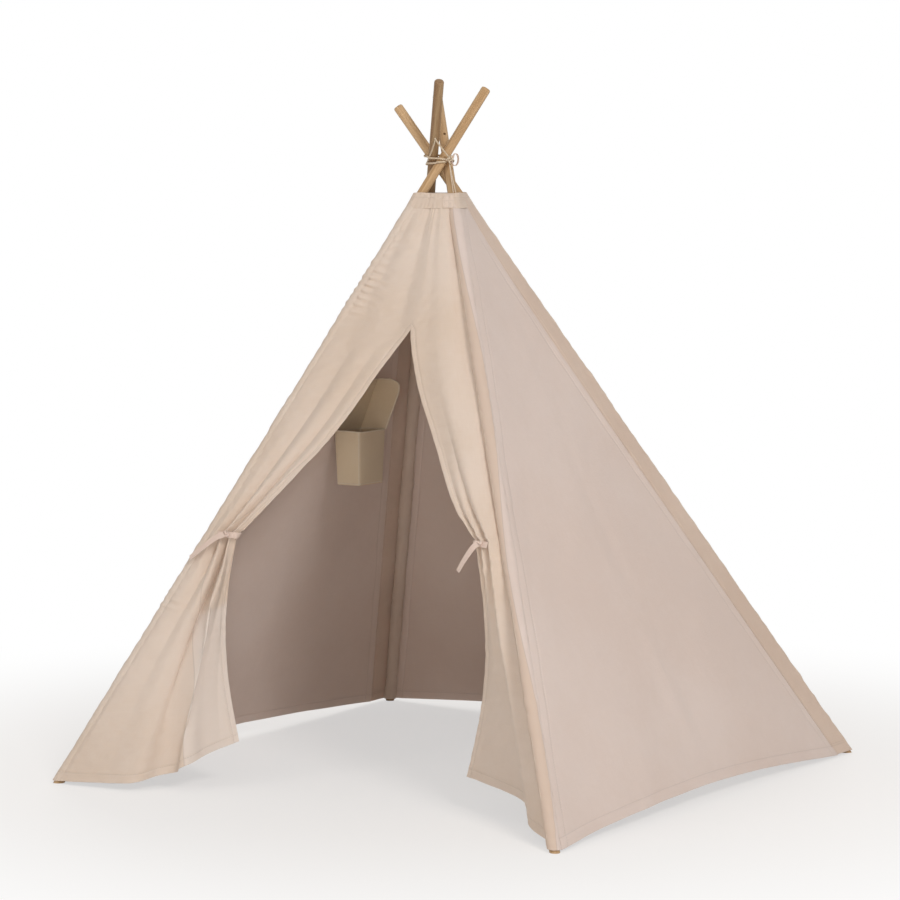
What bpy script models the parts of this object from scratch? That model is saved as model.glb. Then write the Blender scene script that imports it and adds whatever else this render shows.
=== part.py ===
"""A kids teepee: four sectional wooden poles lashed where they cross, under a cotton cover.

The origin is the middle of the base on the floor, +Z is up and the door faces -Y.
The poles are numbered anticlockwise, seen from above, from the front left corner.
"""

import copy
import math

import bmesh
import bpy
from mathutils import Matrix, Vector

# Overall sizes
BASE_WIDTH = 1.200
CROSSING_HEIGHT = 1.278
CROSSING_SHIFT_X = -0.037
CROSSING_SHIFT_Y = -0.025
COVER_TOP_DROP = 0.069
SLIT_TOP_HEIGHT = 0.935

# Clearances
GAP = 0.0003
EDGE_GAP = 0.0006
CROSSING_GAP = 0.0007
CUT_OVERRUN = 0.030

# How far each pole turns inwards when the teepee is folded
FOLD_RANGE = math.radians(26)

# Poles: three wooden sections each, joined by metal tubes
POLE_DIAMETER = 0.020
SECTION_LENGTH = 0.560
TIP_ROUNDING = 0.004
ROPE_HOLE_DIAMETER = 0.006
ROPE_HOLE_RISE = 0.048
FRONT_LEFT_TIP = 0.174
FRONT_RIGHT_TIP = 0.162
BACK_RIGHT_TIP = 0.135
BACK_LEFT_TIP = 0.192
FRONT_RIGHT_SHIFT = 0.004
BACK_RIGHT_SHIFT = 0.0125
CONNECTOR_LENGTH = 0.080
CONNECTOR_WALL = 0.0009

# Cover cloth
CLOTH_THICKNESS = 0.0012
SLEEVE_PLAY = 0.0003
SIDE_SEAM_WIDTH = 0.060
FRONT_SEAM_WIDTH = 0.032
SLEEVE_LIFT = 0.006
HEM_LIFT = 0.005
HEM_ARCH = 0.026
WALL_SAG = 0.008
BAND_HEIGHT = 0.031

# Door flaps, tied back to the front poles
LEFT_WAIST_HEIGHT = 0.512
LEFT_WAIST_WIDTH = 0.040
RIGHT_WAIST_HEIGHT = 0.532
RIGHT_WAIST_WIDTH = 0.030
WAIST_FOLD_DEPTH = 0.006
HEM_FOLD_DEPTH = 0.014
UPPER_BELLY = 0.023
LOWER_HOLLOW = 0.030

# Tiebacks: a ribbon round each gathered flap, its knot and its hanging tail
RIBBON_WIDTH = 0.012
RIBBON_THICKNESS = 0.0012
RIBBON_KNOT_LENGTH = 0.016
RIBBON_KNOT_THICKNESS = 0.009
RIBBON_TAIL_DIAMETER = 0.0044

# Lashing rope round the crossing, its knot, its bow and the cover's hanging cords
ROPE_DIAMETER = 0.004
ROPE_PITCH = 0.0046
ROPE_RISE = 0.007
ROPE_FALL = 0.008
ROPE_KNOT_LENGTH = 0.016
ROPE_KNOT_THICKNESS = 0.011
BOW_LENGTH = 0.024
BOW_WIDTH = 0.014
BOW_STRAND_DIAMETER = 0.003
KNOT_TURN = math.radians(-22)
HANGING_CORD_DIAMETER = 0.0024
HANGING_CORD_SPREAD = 0.014

# Storage pocket sewn to the left wall inside
POCKET_WIDTH = 0.100
POCKET_DEPTH = 0.066
POCKET_HEIGHT = 0.114
POCKET_RIM_HEIGHT = 0.702
POCKET_SIDE_RISE = 0.108
POCKET_CORNER_RADIUS = 0.030
POCKET_BACK_SHIFT = 0.018
POCKET_TAPER_SHARE = 0.95

# Shares of the sizes above, and counts
ROW_SHARES = (0.0, 0.18, 0.35, 0.50, 0.63, 0.75, 0.86, 0.94, 1.0)
SEAM_CROWDING_SHARE = 2.5
SEAM_TIP_SHARE = 1.25
WALL_COLUMNS = 10
YOKE_COLUMNS = 8
YOKE_ROWS = 5
FLAP_COLUMNS = 16
UPPER_FLAP_ROWS = 8
LOWER_FLAP_ROWS = 10
WAIST_FOLDS = 2.5
HEM_FOLDS = 2.5
POLE_SIDES = 20
HOLE_SIDES = 12
SLEEVE_ARC_POINTS = 15
SEAM_ARC_POINTS = 3
ROPE_TURNS = 2
ROPE_POINTS_PER_TURN = 26
KNOT_SEGMENTS = 12
KNOT_RINGS = 8
BAND_POINTS = 48
BAND_ROWS = 4
BAND_MEASURED_POINTS = 240

# Hems of the tied flaps, from the corner to the free edge, as shares of half the base width:
# along the front, inwards, and up
LEFT_HEM_SHARES = (
    (0.240, 0.010, 0.023),
    (0.333, 0.033, 0.033),
    (0.400, 0.133, 0.058),
    (0.458, 0.167, 0.100),
    (0.550, 0.300, 0.153),
)
RIGHT_HEM_SHARES = (
    (0.120, 0.110, 0.040),
    (0.217, 0.193, 0.080),
    (0.375, 0.303, 0.100),
    (0.575, 0.383, 0.113),
)

# Routes of the hanging ribbon tails, from the knot, in metres along the front, inwards and up
LEFT_TAIL_ROUTE = (
    (0.000, 0.000, 0.000),
    (-0.016, -0.006, -0.003),
    (-0.036, -0.012, -0.013),
    (-0.054, -0.016, -0.027),
    (-0.070, -0.018, -0.043),
)
RIGHT_TAIL_ROUTE = (
    (0.000, 0.000, 0.000),
    (-0.010, -0.006, -0.006),
    (-0.022, -0.010, -0.020),
    (-0.032, -0.012, -0.038),
    (-0.040, -0.012, -0.058),
)

UP = Vector((0, 0, 1))
CROSSING = Vector((CROSSING_SHIFT_X, CROSSING_SHIFT_Y, CROSSING_HEIGHT))
COVER_TOP = CROSSING_HEIGHT - COVER_TOP_DROP
POLE_RADIUS = POLE_DIAMETER / 2
CONNECTOR_RADIUS = POLE_RADIUS + GAP + CONNECTOR_WALL
SLEEVE_BORE = CONNECTOR_RADIUS + SLEEVE_PLAY
SLEEVE_RADIUS = SLEEVE_BORE + CLOTH_THICKNESS
SEAM_TIP_RADIUS = CLOTH_THICKNESS * SEAM_TIP_SHARE
WAIST_HALF_HEIGHT = RIBBON_WIDTH / 2 + GAP * 3
# Each corner's side of the door's middle, its side of the depth, how far its pole stands past the
# crossing, and how far to the left of the crossing's centre that pole passes
CORNERS = {
    "front_left": (-1, -1, FRONT_LEFT_TIP, 0.0),
    "front_right": (1, -1, FRONT_RIGHT_TIP, FRONT_RIGHT_SHIFT),
    "back_right": (1, 1, BACK_RIGHT_TIP, BACK_RIGHT_SHIFT),
    "back_left": (-1, 1, BACK_LEFT_TIP, 0.0),
}


def clear_scene():
    for old in list(bpy.data.objects):
        bpy.data.objects.remove(old, do_unlink=True)


def new_collection(name):
    collection = bpy.data.collections.new(name)
    bpy.context.scene.collection.children.link(collection)
    return collection


def new_material(name, color, roughness, metallic=0.0):
    material = bpy.data.materials.new(name)
    material.use_nodes = True
    shader = material.node_tree.nodes["Principled BSDF"]
    shader.inputs["Base Color"].default_value = (*color, 1.0)
    shader.inputs["Roughness"].default_value = roughness
    shader.inputs["Metallic"].default_value = metallic
    material.diffuse_color = (*color, 1.0)
    return material


class Pole:
    """One straight pole, from its foot on the floor past the point where it crosses the others."""

    def __init__(self, name, offset):
        sign_x, sign_y, tip, shift = CORNERS[name]
        self.name = name
        self.foot = Vector((sign_x, sign_y, 0)) * (BASE_WIDTH / 2)
        outward = self.foot - CROSSING
        outward.z = 0
        self.outward = outward.normalized()
        self.tangent = UP.cross(self.outward)
        self.axis_point = CROSSING - Vector((shift, 0, 0))
        self.pivot = self.axis_point + self.tangent * offset
        self.direction = (self.pivot - self.foot).normalized()
        self.length = (self.pivot - self.foot).length + tip

    def at_height(self, height):
        return self.foot + self.direction * ((height - self.foot.z) / self.direction.z)

    def along(self, distance):
        return self.foot + self.direction * distance

    def reach(self, normal, radius):
        """How far a tube of this radius round the pole reaches along a level direction."""
        lean = normal.dot(self.direction) / self.direction.z
        return radius * math.sqrt(1 + lean * lean)

    def folded(self):
        """This pole as it stands when the teepee is folded."""
        turn = Matrix.Rotation(FOLD_RANGE, 3, self.tangent)
        pole = copy.copy(self)
        pole.foot = self.pivot + turn @ (self.foot - self.pivot)
        pole.direction = turn @ self.direction
        return pole


def axis_distance(first, second):
    across = first.direction.cross(second.direction).normalized()
    return abs((first.pivot - second.pivot).dot(across))


def crossing_offset():
    """How far each pole stands off the crossing's centre, so that neighbours just clear."""
    apart = POLE_DIAMETER + CROSSING_GAP
    low = 0.0
    high = POLE_DIAMETER * 2
    while high - low > GAP / 1000:
        middle = (low + high) / 2
        trial = [Pole(name, middle) for name in CORNERS]
        distances = [axis_distance(trial[index - 1], trial[index]) for index in range(len(trial))]
        if min(distances) > apart:
            high = middle
        else:
            low = middle
    return high


class Wall:
    """The cloth between two neighbouring poles, taken anticlockwise, as a ruled surface."""

    def __init__(self, first, second, first_seam=0.0, second_seam=0.0):
        self.first = first
        self.second = second
        self.first_seam = first_seam
        self.second_seam = second_seam

    def frame(self, height):
        start = self.first.at_height(height)
        run = self.second.at_height(height) - start
        width = run.length
        run = run / width
        outward = Vector((run.y, -run.x, 0))
        return start, run, outward, width

    def point(self, along, height, depth=0.0):
        """A point of the cloth's middle surface, or one that lies deeper inside the teepee."""
        start, run, outward, width = self.frame(height)
        middle = SLEEVE_RADIUS - CLOTH_THICKNESS / 2
        near = self.first.reach(outward, middle)
        far = self.second.reach(outward, middle)
        offset = near + (far - near) * along / width
        return start + run * along + outward * (offset - depth)

    def seam(self, pole, height):
        """Level distance from a pole's axis to its seam, which narrows where the poles crowd."""
        start, run, outward, width = self.frame(height)
        width_allowed = self.first_seam if pole is self.first else self.second_seam
        if not width_allowed:
            return 0.0
        crowded = width * SEAM_CROWDING_SHARE
        return width_allowed * crowded / (width_allowed + crowded)

    def edge(self, pole, height):
        """Level distance from a pole's axis to where the wall's own cloth begins."""
        start, run, outward, width = self.frame(height)
        towards = run if pole is self.first else -run
        if self.seam(pole, height):
            centre = pole.at_height(height)
            loop = sleeve_loop(pole, self, height, 0.0)
            return max((point - centre).dot(towards) for point in loop) + GAP
        # where the cloth's inner face meets the sleeve's level section, an ellipse
        inner = pole.reach(outward, SLEEVE_RADIUS - CLOTH_THICKNESS)
        squeeze = pole.direction.z
        along = Vector((towards.dot(pole.outward) * squeeze, towards.dot(pole.tangent)))
        fixed = Vector((outward.dot(pole.outward) * squeeze, outward.dot(pole.tangent))) * inner
        square = along.dot(along)
        half = along.dot(fixed)
        rest = fixed.dot(fixed) - (SLEEVE_RADIUS + GAP) ** 2
        return (math.sqrt(half * half - square * rest) - half) / square

    def span(self, height):
        start, run, outward, width = self.frame(height)
        return self.edge(self.first, height), width - self.edge(self.second, height)


class Builder:
    """Makes the objects, each under the empty that it turns with."""

    def __init__(self, collection, pivots):
        self.collection = collection
        self.pivots = pivots

    def add_pivot(self, name, position):
        empty = bpy.data.objects.new("pivot_" + name, None)
        empty.location = position
        empty.empty_display_size = POLE_DIAMETER
        self.collection.objects.link(empty)
        self.pivots[name] = empty

    def add(self, name, mesh_or_curve, material, pivot):
        thing = bpy.data.objects.new(name, mesh_or_curve)
        mesh_or_curve.materials.append(material)
        self.collection.objects.link(thing)
        thing.parent = self.pivots[pivot]
        return thing

    def from_bmesh(self, name, bm, material, pivot, smooth=True):
        """World-space geometry becomes an object whose origin is its pivot."""
        bmesh.ops.translate(bm, vec=-self.pivots[pivot].location, verts=bm.verts)
        bmesh.ops.recalc_face_normals(bm, faces=bm.faces)
        mesh = bpy.data.meshes.new(name)
        bm.to_mesh(mesh)
        bm.free()
        thing = self.add(name, mesh, material, pivot)
        if smooth:
            mesh.shade_smooth()
            mesh.set_sharp_from_angle(angle=math.radians(40))
        return thing

    def sheet(self, name, columns, rows, place, material, pivot, thickness=CLOTH_THICKNESS):
        """A cloth: a grid laid out by place(share across, row number), thickened both ways."""
        bm = bmesh.new()
        bmesh.ops.create_grid(bm, x_segments=columns, y_segments=rows, size=0.5)
        for vert in bm.verts:
            across = vert.co.x + 0.5
            row = round((vert.co.y + 0.5) * rows)
            vert.co = place(across, row)
        thing = self.from_bmesh(name, bm, material, pivot)
        solidify = thing.modifiers.new("cloth thickness", "SOLIDIFY")
        solidify.thickness = thickness
        solidify.offset = 0
        return thing

    def tube(self, name, points, diameter, material, pivot, resolution=2, cyclic=False):
        origin = self.pivots[pivot].location
        curve = bpy.data.curves.new(name, "CURVE")
        curve.dimensions = "3D"
        curve.bevel_depth = diameter / 2
        curve.bevel_resolution = resolution
        curve.use_fill_caps = True
        spline = curve.splines.new("POLY")
        spline.points.add(len(points) - 1)
        for target, point in zip(spline.points, points):
            target.co = (*(point - origin), 1)
        spline.use_cyclic_u = cyclic
        return self.add(name, curve, material, pivot)


def loft_loops(bm, loops):
    """Quads between neighbouring closed loops of equal length."""
    rows = [[bm.verts.new(point) for point in loop] for loop in loops]
    for lower, upper in zip(rows, rows[1:]):
        join_loops(bm, lower, upper)
    return rows


def join_loops(bm, lower, upper):
    count = len(lower)
    for index in range(count):
        after = (index + 1) % count
        bm.faces.new((lower[index], lower[after], upper[after], upper[index]))


def hollow_loft(outer_loops, inner_loops):
    """A tube whose outside and inside are both lofted, open at both ends of its bore."""
    bm = bmesh.new()
    outer = loft_loops(bm, outer_loops)
    inner = loft_loops(bm, inner_loops)
    join_loops(bm, outer[0], inner[0])
    join_loops(bm, outer[-1], inner[-1])
    return bm


def solid_loft(loops):
    bm = bmesh.new()
    rows = loft_loops(bm, loops)
    bm.faces.new(rows[0])
    bm.faces.new(rows[-1])
    return bm


def cylinder_between(start, end, radius, sides=POLE_SIDES):
    bm = bmesh.new()
    run = end - start
    turn = UP.rotation_difference(run).to_matrix().to_4x4()
    place = Matrix.Translation((start + end) / 2) @ turn
    bmesh.ops.create_cone(
        bm, cap_ends=True, segments=sides, radius1=radius, radius2=radius,
        depth=run.length, matrix=place,
    )
    return bm


def cut_at_floor(bm):
    result = bmesh.ops.bisect_plane(
        bm, geom=bm.verts[:] + bm.edges[:] + bm.faces[:],
        plane_co=Vector((0, 0, 0)), plane_no=UP, clear_inner=True,
    )
    edges = [item for item in result["geom_cut"] if isinstance(item, bmesh.types.BMEdge)]
    bmesh.ops.edgeloop_fill(bm, edges=edges)


def round_tip(bm, pole, centre):
    end_edges = []
    for edge in bm.edges:
        heights = [(vert.co - centre).dot(pole.direction) for vert in edge.verts]
        if min(heights) > -GAP:
            end_edges.append(edge)
    bmesh.ops.bevel(
        bm, geom=end_edges, offset=TIP_ROUNDING, segments=3, profile=0.5, affect="EDGES",
    )


def cut_rope_hole(upper, pole, cutters):
    """A hole through the pole above the crossing, which the cutter is kept for."""
    middle = pole.pivot + pole.direction * (ROPE_HOLE_RISE / pole.direction.z)
    across = pole.direction.cross(pole.tangent).normalized()
    bm = cylinder_between(
        middle - across * POLE_DIAMETER, middle + across * POLE_DIAMETER,
        ROPE_HOLE_DIAMETER / 2, HOLE_SIDES)
    cutter = cutters.from_bmesh("rope_hole_" + pole.name, bm, upper.active_material, pole.name)
    cutter.hide_render = True
    cutter.display_type = "WIRE"
    boolean = upper.modifiers.new("rope hole", "BOOLEAN")
    boolean.operation = "DIFFERENCE"
    boolean.solver = "EXACT"
    boolean.object = cutter


def build_poles(builder, cutters, poles, wood, metal):
    for pole in poles:
        first_joint = SECTION_LENGTH
        second_joint = SECTION_LENGTH * 2
        lower = cylinder_between(
            pole.along(-CUT_OVERRUN), pole.along(first_joint - GAP / 2), POLE_RADIUS)
        cut_at_floor(lower)
        builder.from_bmesh("pole_" + pole.name + "_lower", lower, wood, pole.name)
        middle = cylinder_between(
            pole.along(first_joint + GAP / 2), pole.along(second_joint - GAP / 2), POLE_RADIUS)
        builder.from_bmesh("pole_" + pole.name + "_middle", middle, wood, pole.name)
        tip = pole.along(pole.length)
        upper = cylinder_between(pole.along(second_joint + GAP / 2), tip, POLE_RADIUS)
        round_tip(upper, pole, tip)
        upper = builder.from_bmesh("pole_" + pole.name + "_upper", upper, wood, pole.name)
        cut_rope_hole(upper, pole, cutters)
        for label, joint in (("low", first_joint), ("high", second_joint)):
            name = "connector_" + pole.name + "_" + label
            build_connector(builder, name, pole, joint, metal)


def ring(pole, distance, radius):
    """A circle of points square round a pole."""
    side = pole.tangent
    other = pole.direction.cross(side).normalized()
    side = other.cross(pole.direction)
    points = []
    for index in range(POLE_SIDES):
        turn = math.tau * index / POLE_SIDES
        offset = side * math.cos(turn) + other * math.sin(turn)
        points.append(pole.along(distance) + offset * radius)
    return points


def build_connector(builder, name, pole, joint, metal):
    ends = (joint - CONNECTOR_LENGTH / 2, joint + CONNECTOR_LENGTH / 2)
    bore = POLE_RADIUS + GAP
    outer = [ring(pole, distance, CONNECTOR_RADIUS) for distance in ends]
    inner = [ring(pole, distance, bore) for distance in ends]
    builder.from_bmesh(name, hollow_loft(outer, inner), metal, pole.name)


def row_height(row):
    """Heights shared by the sleeves and the walls, so that their edges follow each other."""
    return SLEEVE_LIFT + (COVER_TOP - SLEEVE_LIFT) * ROW_SHARES[row]


def drop_outline(reach, height_over, big, small):
    """The outline round a big circle at the origin and a small one, as flat coordinates."""
    centre = Vector((reach, height_over))
    heading = math.atan2(centre.y, centre.x)
    half = math.acos((big - small) / centre.length)
    points = []
    for index in range(SLEEVE_ARC_POINTS):
        turn = heading + half + (math.tau - 2 * half) * index / (SLEEVE_ARC_POINTS - 1)
        points.append(Vector((math.cos(turn), math.sin(turn))) * big)
    for index in range(SEAM_ARC_POINTS):
        turn = heading - half + 2 * half * index / (SEAM_ARC_POINTS - 1)
        points.append(centre + Vector((math.cos(turn), math.sin(turn))) * small)
    return points


def sleeve_loop(pole, wall, height, shrink):
    """The level section of a pole's sleeve: a loop round the pole and on to its seam."""
    start, run, outward, width = wall.frame(height)
    towards = run if pole is wall.first else -run
    reach = towards * wall.seam(pole, height)
    lean = pole.direction.z
    flat_reach = Vector((reach.dot(pole.outward) * lean, reach.dot(pole.tangent)))
    flat_out = Vector((-flat_reach.y, flat_reach.x)).normalized()
    level_out = Vector((outward.dot(pole.outward), outward.dot(pole.tangent)))
    if flat_out.dot(level_out) < 0:
        flat_out.negate()
    tip_centre = flat_reach + flat_out * (SLEEVE_RADIUS - SEAM_TIP_RADIUS)
    outline = drop_outline(
        tip_centre.x, tip_centre.y, SLEEVE_RADIUS - shrink, SEAM_TIP_RADIUS - shrink)
    centre = pole.at_height(height)
    loop = []
    for flat in outline:
        loop.append(centre + pole.outward * (flat.x / lean) + pole.tangent * flat.y)
    return loop


def build_sleeves(builder, walls, cloth):
    for pole, wall in walls:
        heights = [row_height(row) for row in range(len(ROW_SHARES))]
        outer = [sleeve_loop(pole, wall, height, 0.0) for height in heights]
        inner = [sleeve_loop(pole, wall, height, CLOTH_THICKNESS) for height in heights]
        builder.from_bmesh("sleeve_" + pole.name, hollow_loft(outer, inner), cloth, pole.name)


def build_wall(builder, name, wall, cloth):
    rows = len(ROW_SHARES) - 1

    def place(across, row):
        height = row_height(row)
        low, high = wall.span(height)
        arch = HEM_ARCH * math.sin(math.pi * across) * (1 - ROW_SHARES[row])
        lift = (HEM_LIFT - SLEEVE_LIFT) * (1 - ROW_SHARES[row])
        raised = height + arch + lift
        sag = WALL_SAG * math.sin(math.pi * across) * math.sin(math.pi * ROW_SHARES[row])
        return wall.point(low + (high - low) * across, raised, sag)

    builder.sheet(name, WALL_COLUMNS, rows, place, cloth, "cover")


def slit_along(wall, height):
    """Level distance from the front left pole's axis to the slit, on the base's centre line."""
    start, run, outward, width = wall.frame(height)
    return -start.x / run.x


def build_yoke(builder, front, cloth):
    def place(across, row):
        low_end = SLIT_TOP_HEIGHT + EDGE_GAP
        height = low_end + (COVER_TOP - low_end) * row / YOKE_ROWS
        low, high = front.span(height)
        low += GAP
        high -= GAP
        return front.point(low + (high - low) * across, height)

    builder.sheet("front_yoke", YOKE_COLUMNS, YOKE_ROWS, place, cloth, "cover")


def spline_point(points, share):
    """A smooth curve through the points, evenly by their distances."""
    lengths = [0.0]
    for first, second in zip(points, points[1:]):
        lengths.append(lengths[-1] + (second - first).length)
    distance = share * lengths[-1]
    index = 0
    while index < len(points) - 2 and distance > lengths[index + 1]:
        index += 1
    part = (distance - lengths[index]) / (lengths[index + 1] - lengths[index])
    before = points[max(index - 1, 0)]
    first = points[index]
    second = points[index + 1]
    after = points[min(index + 2, len(points) - 1)]
    bend = (second - before) * part
    square = (before * 2 - first * 5 + second * 4 - after) * part ** 2
    cube = (first * 3 - before - second * 3 + after) * part ** 3
    return first + (bend + square + cube) / 2


class Flap:
    """One door flap, hung from the slit's top, gathered at its waist and spread at its hem."""

    def __init__(self, name, front, pole, waist_height, waist_width, hem_shares):
        self.name = name
        self.front = front
        self.pole = pole
        self.is_left = pole is front.first
        self.sign = 1 if self.is_left else -1
        self.waist_height = waist_height
        self.waist_width = waist_width
        self.hem = self.hem_points(hem_shares)

    def from_pole(self, distance, height, depth=0.0):
        """A point of the front at a level distance from this flap's pole."""
        if self.is_left:
            return self.front.point(distance, height, depth)
        start, run, outward, width = self.front.frame(height)
        return self.front.point(width - distance, height, depth)

    def near(self, height):
        """Level distance from the pole's axis to where this flap is sewn to the sleeve."""
        return self.front.edge(self.pole, height) + GAP

    def hem_points(self, shares):
        half = BASE_WIDTH / 2
        corner = self.pole.foot
        points = [self.from_pole(self.near(SLEEVE_LIFT), SLEEVE_LIFT)]
        for along, inward, up in shares:
            points.append(corner + Vector((self.sign * along, inward, up)) * half)
        return points

    def top(self, across):
        height = SLIT_TOP_HEIGHT
        slit = slit_along(self.front, height)
        if not self.is_left:
            start, run, outward, width = self.front.frame(height)
            slit = width - slit
        near = self.near(height)
        far = slit - EDGE_GAP
        return self.from_pole(near + (far - near) * across, height)

    def waist(self, across, side):
        """The gathered cloth at the upper (1) or the lower (-1) edge of its ribbon."""
        height = self.waist_height + side * WAIST_HALF_HEIGHT
        near = self.near(height)
        envelope = min(1.0, across * 4)
        fold = math.sin(math.tau * WAIST_FOLDS * across) * WAIST_FOLD_DEPTH * envelope
        return self.from_pole(near + self.waist_width * across, height, fold)

    def bottom(self, across):
        point = spline_point(self.hem, across)
        ahead = spline_point(self.hem, min(1.0, across + 0.05))
        behind = spline_point(self.hem, max(0.0, across - 0.05))
        along = (ahead - behind).normalized()
        outward = along.cross(UP) * self.sign
        envelope = min(1.0, across * 4)
        fold = math.sin(math.tau * HEM_FOLDS * across) * HEM_FOLD_DEPTH * envelope
        return point - outward * fold

    def place(self, across, row):
        """Rows count up from the hem, so that the sheet faces outwards."""
        rows_down = UPPER_FLAP_ROWS + 1 + LOWER_FLAP_ROWS - row
        if rows_down <= UPPER_FLAP_ROWS:
            part = rows_down / UPPER_FLAP_ROWS
            point = self.top(across).lerp(self.waist(across, 1), part)
            belly = UPPER_BELLY * math.sin(math.pi * part) * across
            return point + Vector((self.sign * belly, 0, 0))
        part = (rows_down - UPPER_FLAP_ROWS - 1) / LOWER_FLAP_ROWS
        eased = part * (1 + part) / 2 if part < 1 else 1.0
        waist = self.waist(across, -1)
        level = waist.lerp(self.bottom(across), eased)
        straight = waist.lerp(self.bottom(across), part)
        hollow = LOWER_HOLLOW * math.sin(math.pi * part) * across ** 2
        mix = level.lerp(straight, 1 - across)
        return Vector((mix.x - self.sign * hollow, mix.y, straight.z))

    def build(self, builder, cloth):
        rows = UPPER_FLAP_ROWS + 1 + LOWER_FLAP_ROWS
        builder.sheet(
            "door_flap_" + self.name, FLAP_COLUMNS, rows, self.place, cloth, self.pole.name)


def oval_solid(centre, long_axis, length, thickness):
    """A rounded knot body, longer than it is thick."""
    bm = bmesh.new()
    turn = UP.rotation_difference(long_axis).to_matrix().to_4x4()
    size = Matrix.Diagonal((thickness, thickness, length, 1))
    bmesh.ops.create_uvsphere(
        bm, u_segments=KNOT_SEGMENTS, v_segments=KNOT_RINGS, radius=0.5,
        matrix=Matrix.Translation(centre) @ turn @ size,
    )
    return bm


def strap_loops(points, rise, thickness):
    """Rectangular sections of a strap that lies flat round a level path; rise is half its width."""
    loops = []
    for index, point in enumerate(points):
        ahead = points[min(index + 1, len(points) - 1)]
        behind = points[max(index - 1, 0)]
        along = (ahead - behind).normalized()
        side = along.cross(UP).normalized() * (thickness / 2)
        loops.append([point - side - rise, point + side - rise,
                      point + side + rise, point - side + rise])
    return loops


def build_tieback(builder, flap, route, ribbon):
    """A ribbon from the seam's outside round the gathered cloth to its inside, with a knot."""
    height = flap.waist_height
    near = flap.near(height)
    deep = WAIST_FOLD_DEPTH + CLOTH_THICKNESS + RIBBON_THICKNESS / 2 + GAP * 2
    far = near + flap.waist_width + CLOTH_THICKNESS + RIBBON_THICKNESS
    start, run, outward, width = flap.front.frame(height)
    rise = flap.from_pole(near, height + RIBBON_WIDTH / 2) - flap.from_pole(near, height)
    path = []
    turns = 8
    path.append(flap.from_pole(near, height, -deep))
    for index in range(turns + 1):
        turn = math.pi * index / turns
        along = far - deep + deep * math.sin(turn)
        depth = -deep * math.cos(turn)
        path.append(flap.from_pole(along, height, depth))
    path.append(flap.from_pole(near, height, deep))
    bm = solid_loft(strap_loops(path, rise, RIBBON_THICKNESS))
    name = "tieback_" + flap.name
    builder.from_bmesh(name, bm, ribbon, flap.pole.name, smooth=False)
    normal = run.cross(rise).normalized()
    if normal.dot(outward) < 0:
        normal.negate()
    stand_off = RIBBON_THICKNESS / 2 + RIBBON_KNOT_THICKNESS / 2 + GAP
    knot = flap.from_pole((near + far) / 2, height, -deep) + normal * stand_off
    bm = oval_solid(knot, run, RIBBON_KNOT_LENGTH, RIBBON_KNOT_THICKNESS)
    builder.from_bmesh("tieback_knot_" + flap.name, bm, ribbon, flap.pole.name)
    points = [Vector(step) for step in route]
    exit_distance = RIBBON_KNOT_THICKNESS / 2 + RIBBON_TAIL_DIAMETER / 2 + GAP
    exit_point = knot + outward * exit_distance
    count = 8
    path = [exit_point + spline_point(points, index / count) for index in range(count + 1)]
    builder.tube(
        "tieback_tail_" + flap.name, path, RIBBON_TAIL_DIAMETER, ribbon, flap.pole.name)


def bundle_point(poles, height, turn, clearance):
    """A point just outside all the poles at a height, in a level direction."""
    normal = Vector((math.cos(turn), math.sin(turn), 0))
    side = Vector((-math.sin(turn), math.cos(turn), 0))
    radius = POLE_RADIUS + clearance

    def support(direction):
        return max(
            pole.at_height(height).dot(direction) + pole.reach(direction, radius)
            for pole in poles
        )

    step = math.radians(0.5)
    ahead = Vector((math.cos(turn + step), math.sin(turn + step), 0))
    behind = Vector((math.cos(turn - step), math.sin(turn - step), 0))
    slope = (support(ahead) - support(behind)) / (2 * step)
    level = normal * support(normal) + side * slope
    return Vector((level.x, level.y, height))


def least_gap_to_itself(path, diameter):
    """The least gap between stretches of a tube that aren't next to each other."""
    dense = []
    for first, second in zip(path, path[1:]):
        dense.extend(first.lerp(second, part / 4) for part in range(4))
    step = sum((b - a).length for a, b in zip(dense, dense[1:])) / (len(dense) - 1)
    skipped = math.ceil(diameter * 3 / step)
    least = math.inf
    for index, point in enumerate(dense):
        for other in dense[index + skipped:]:
            least = min(least, (point - other).length)
    return least - diameter


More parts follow.
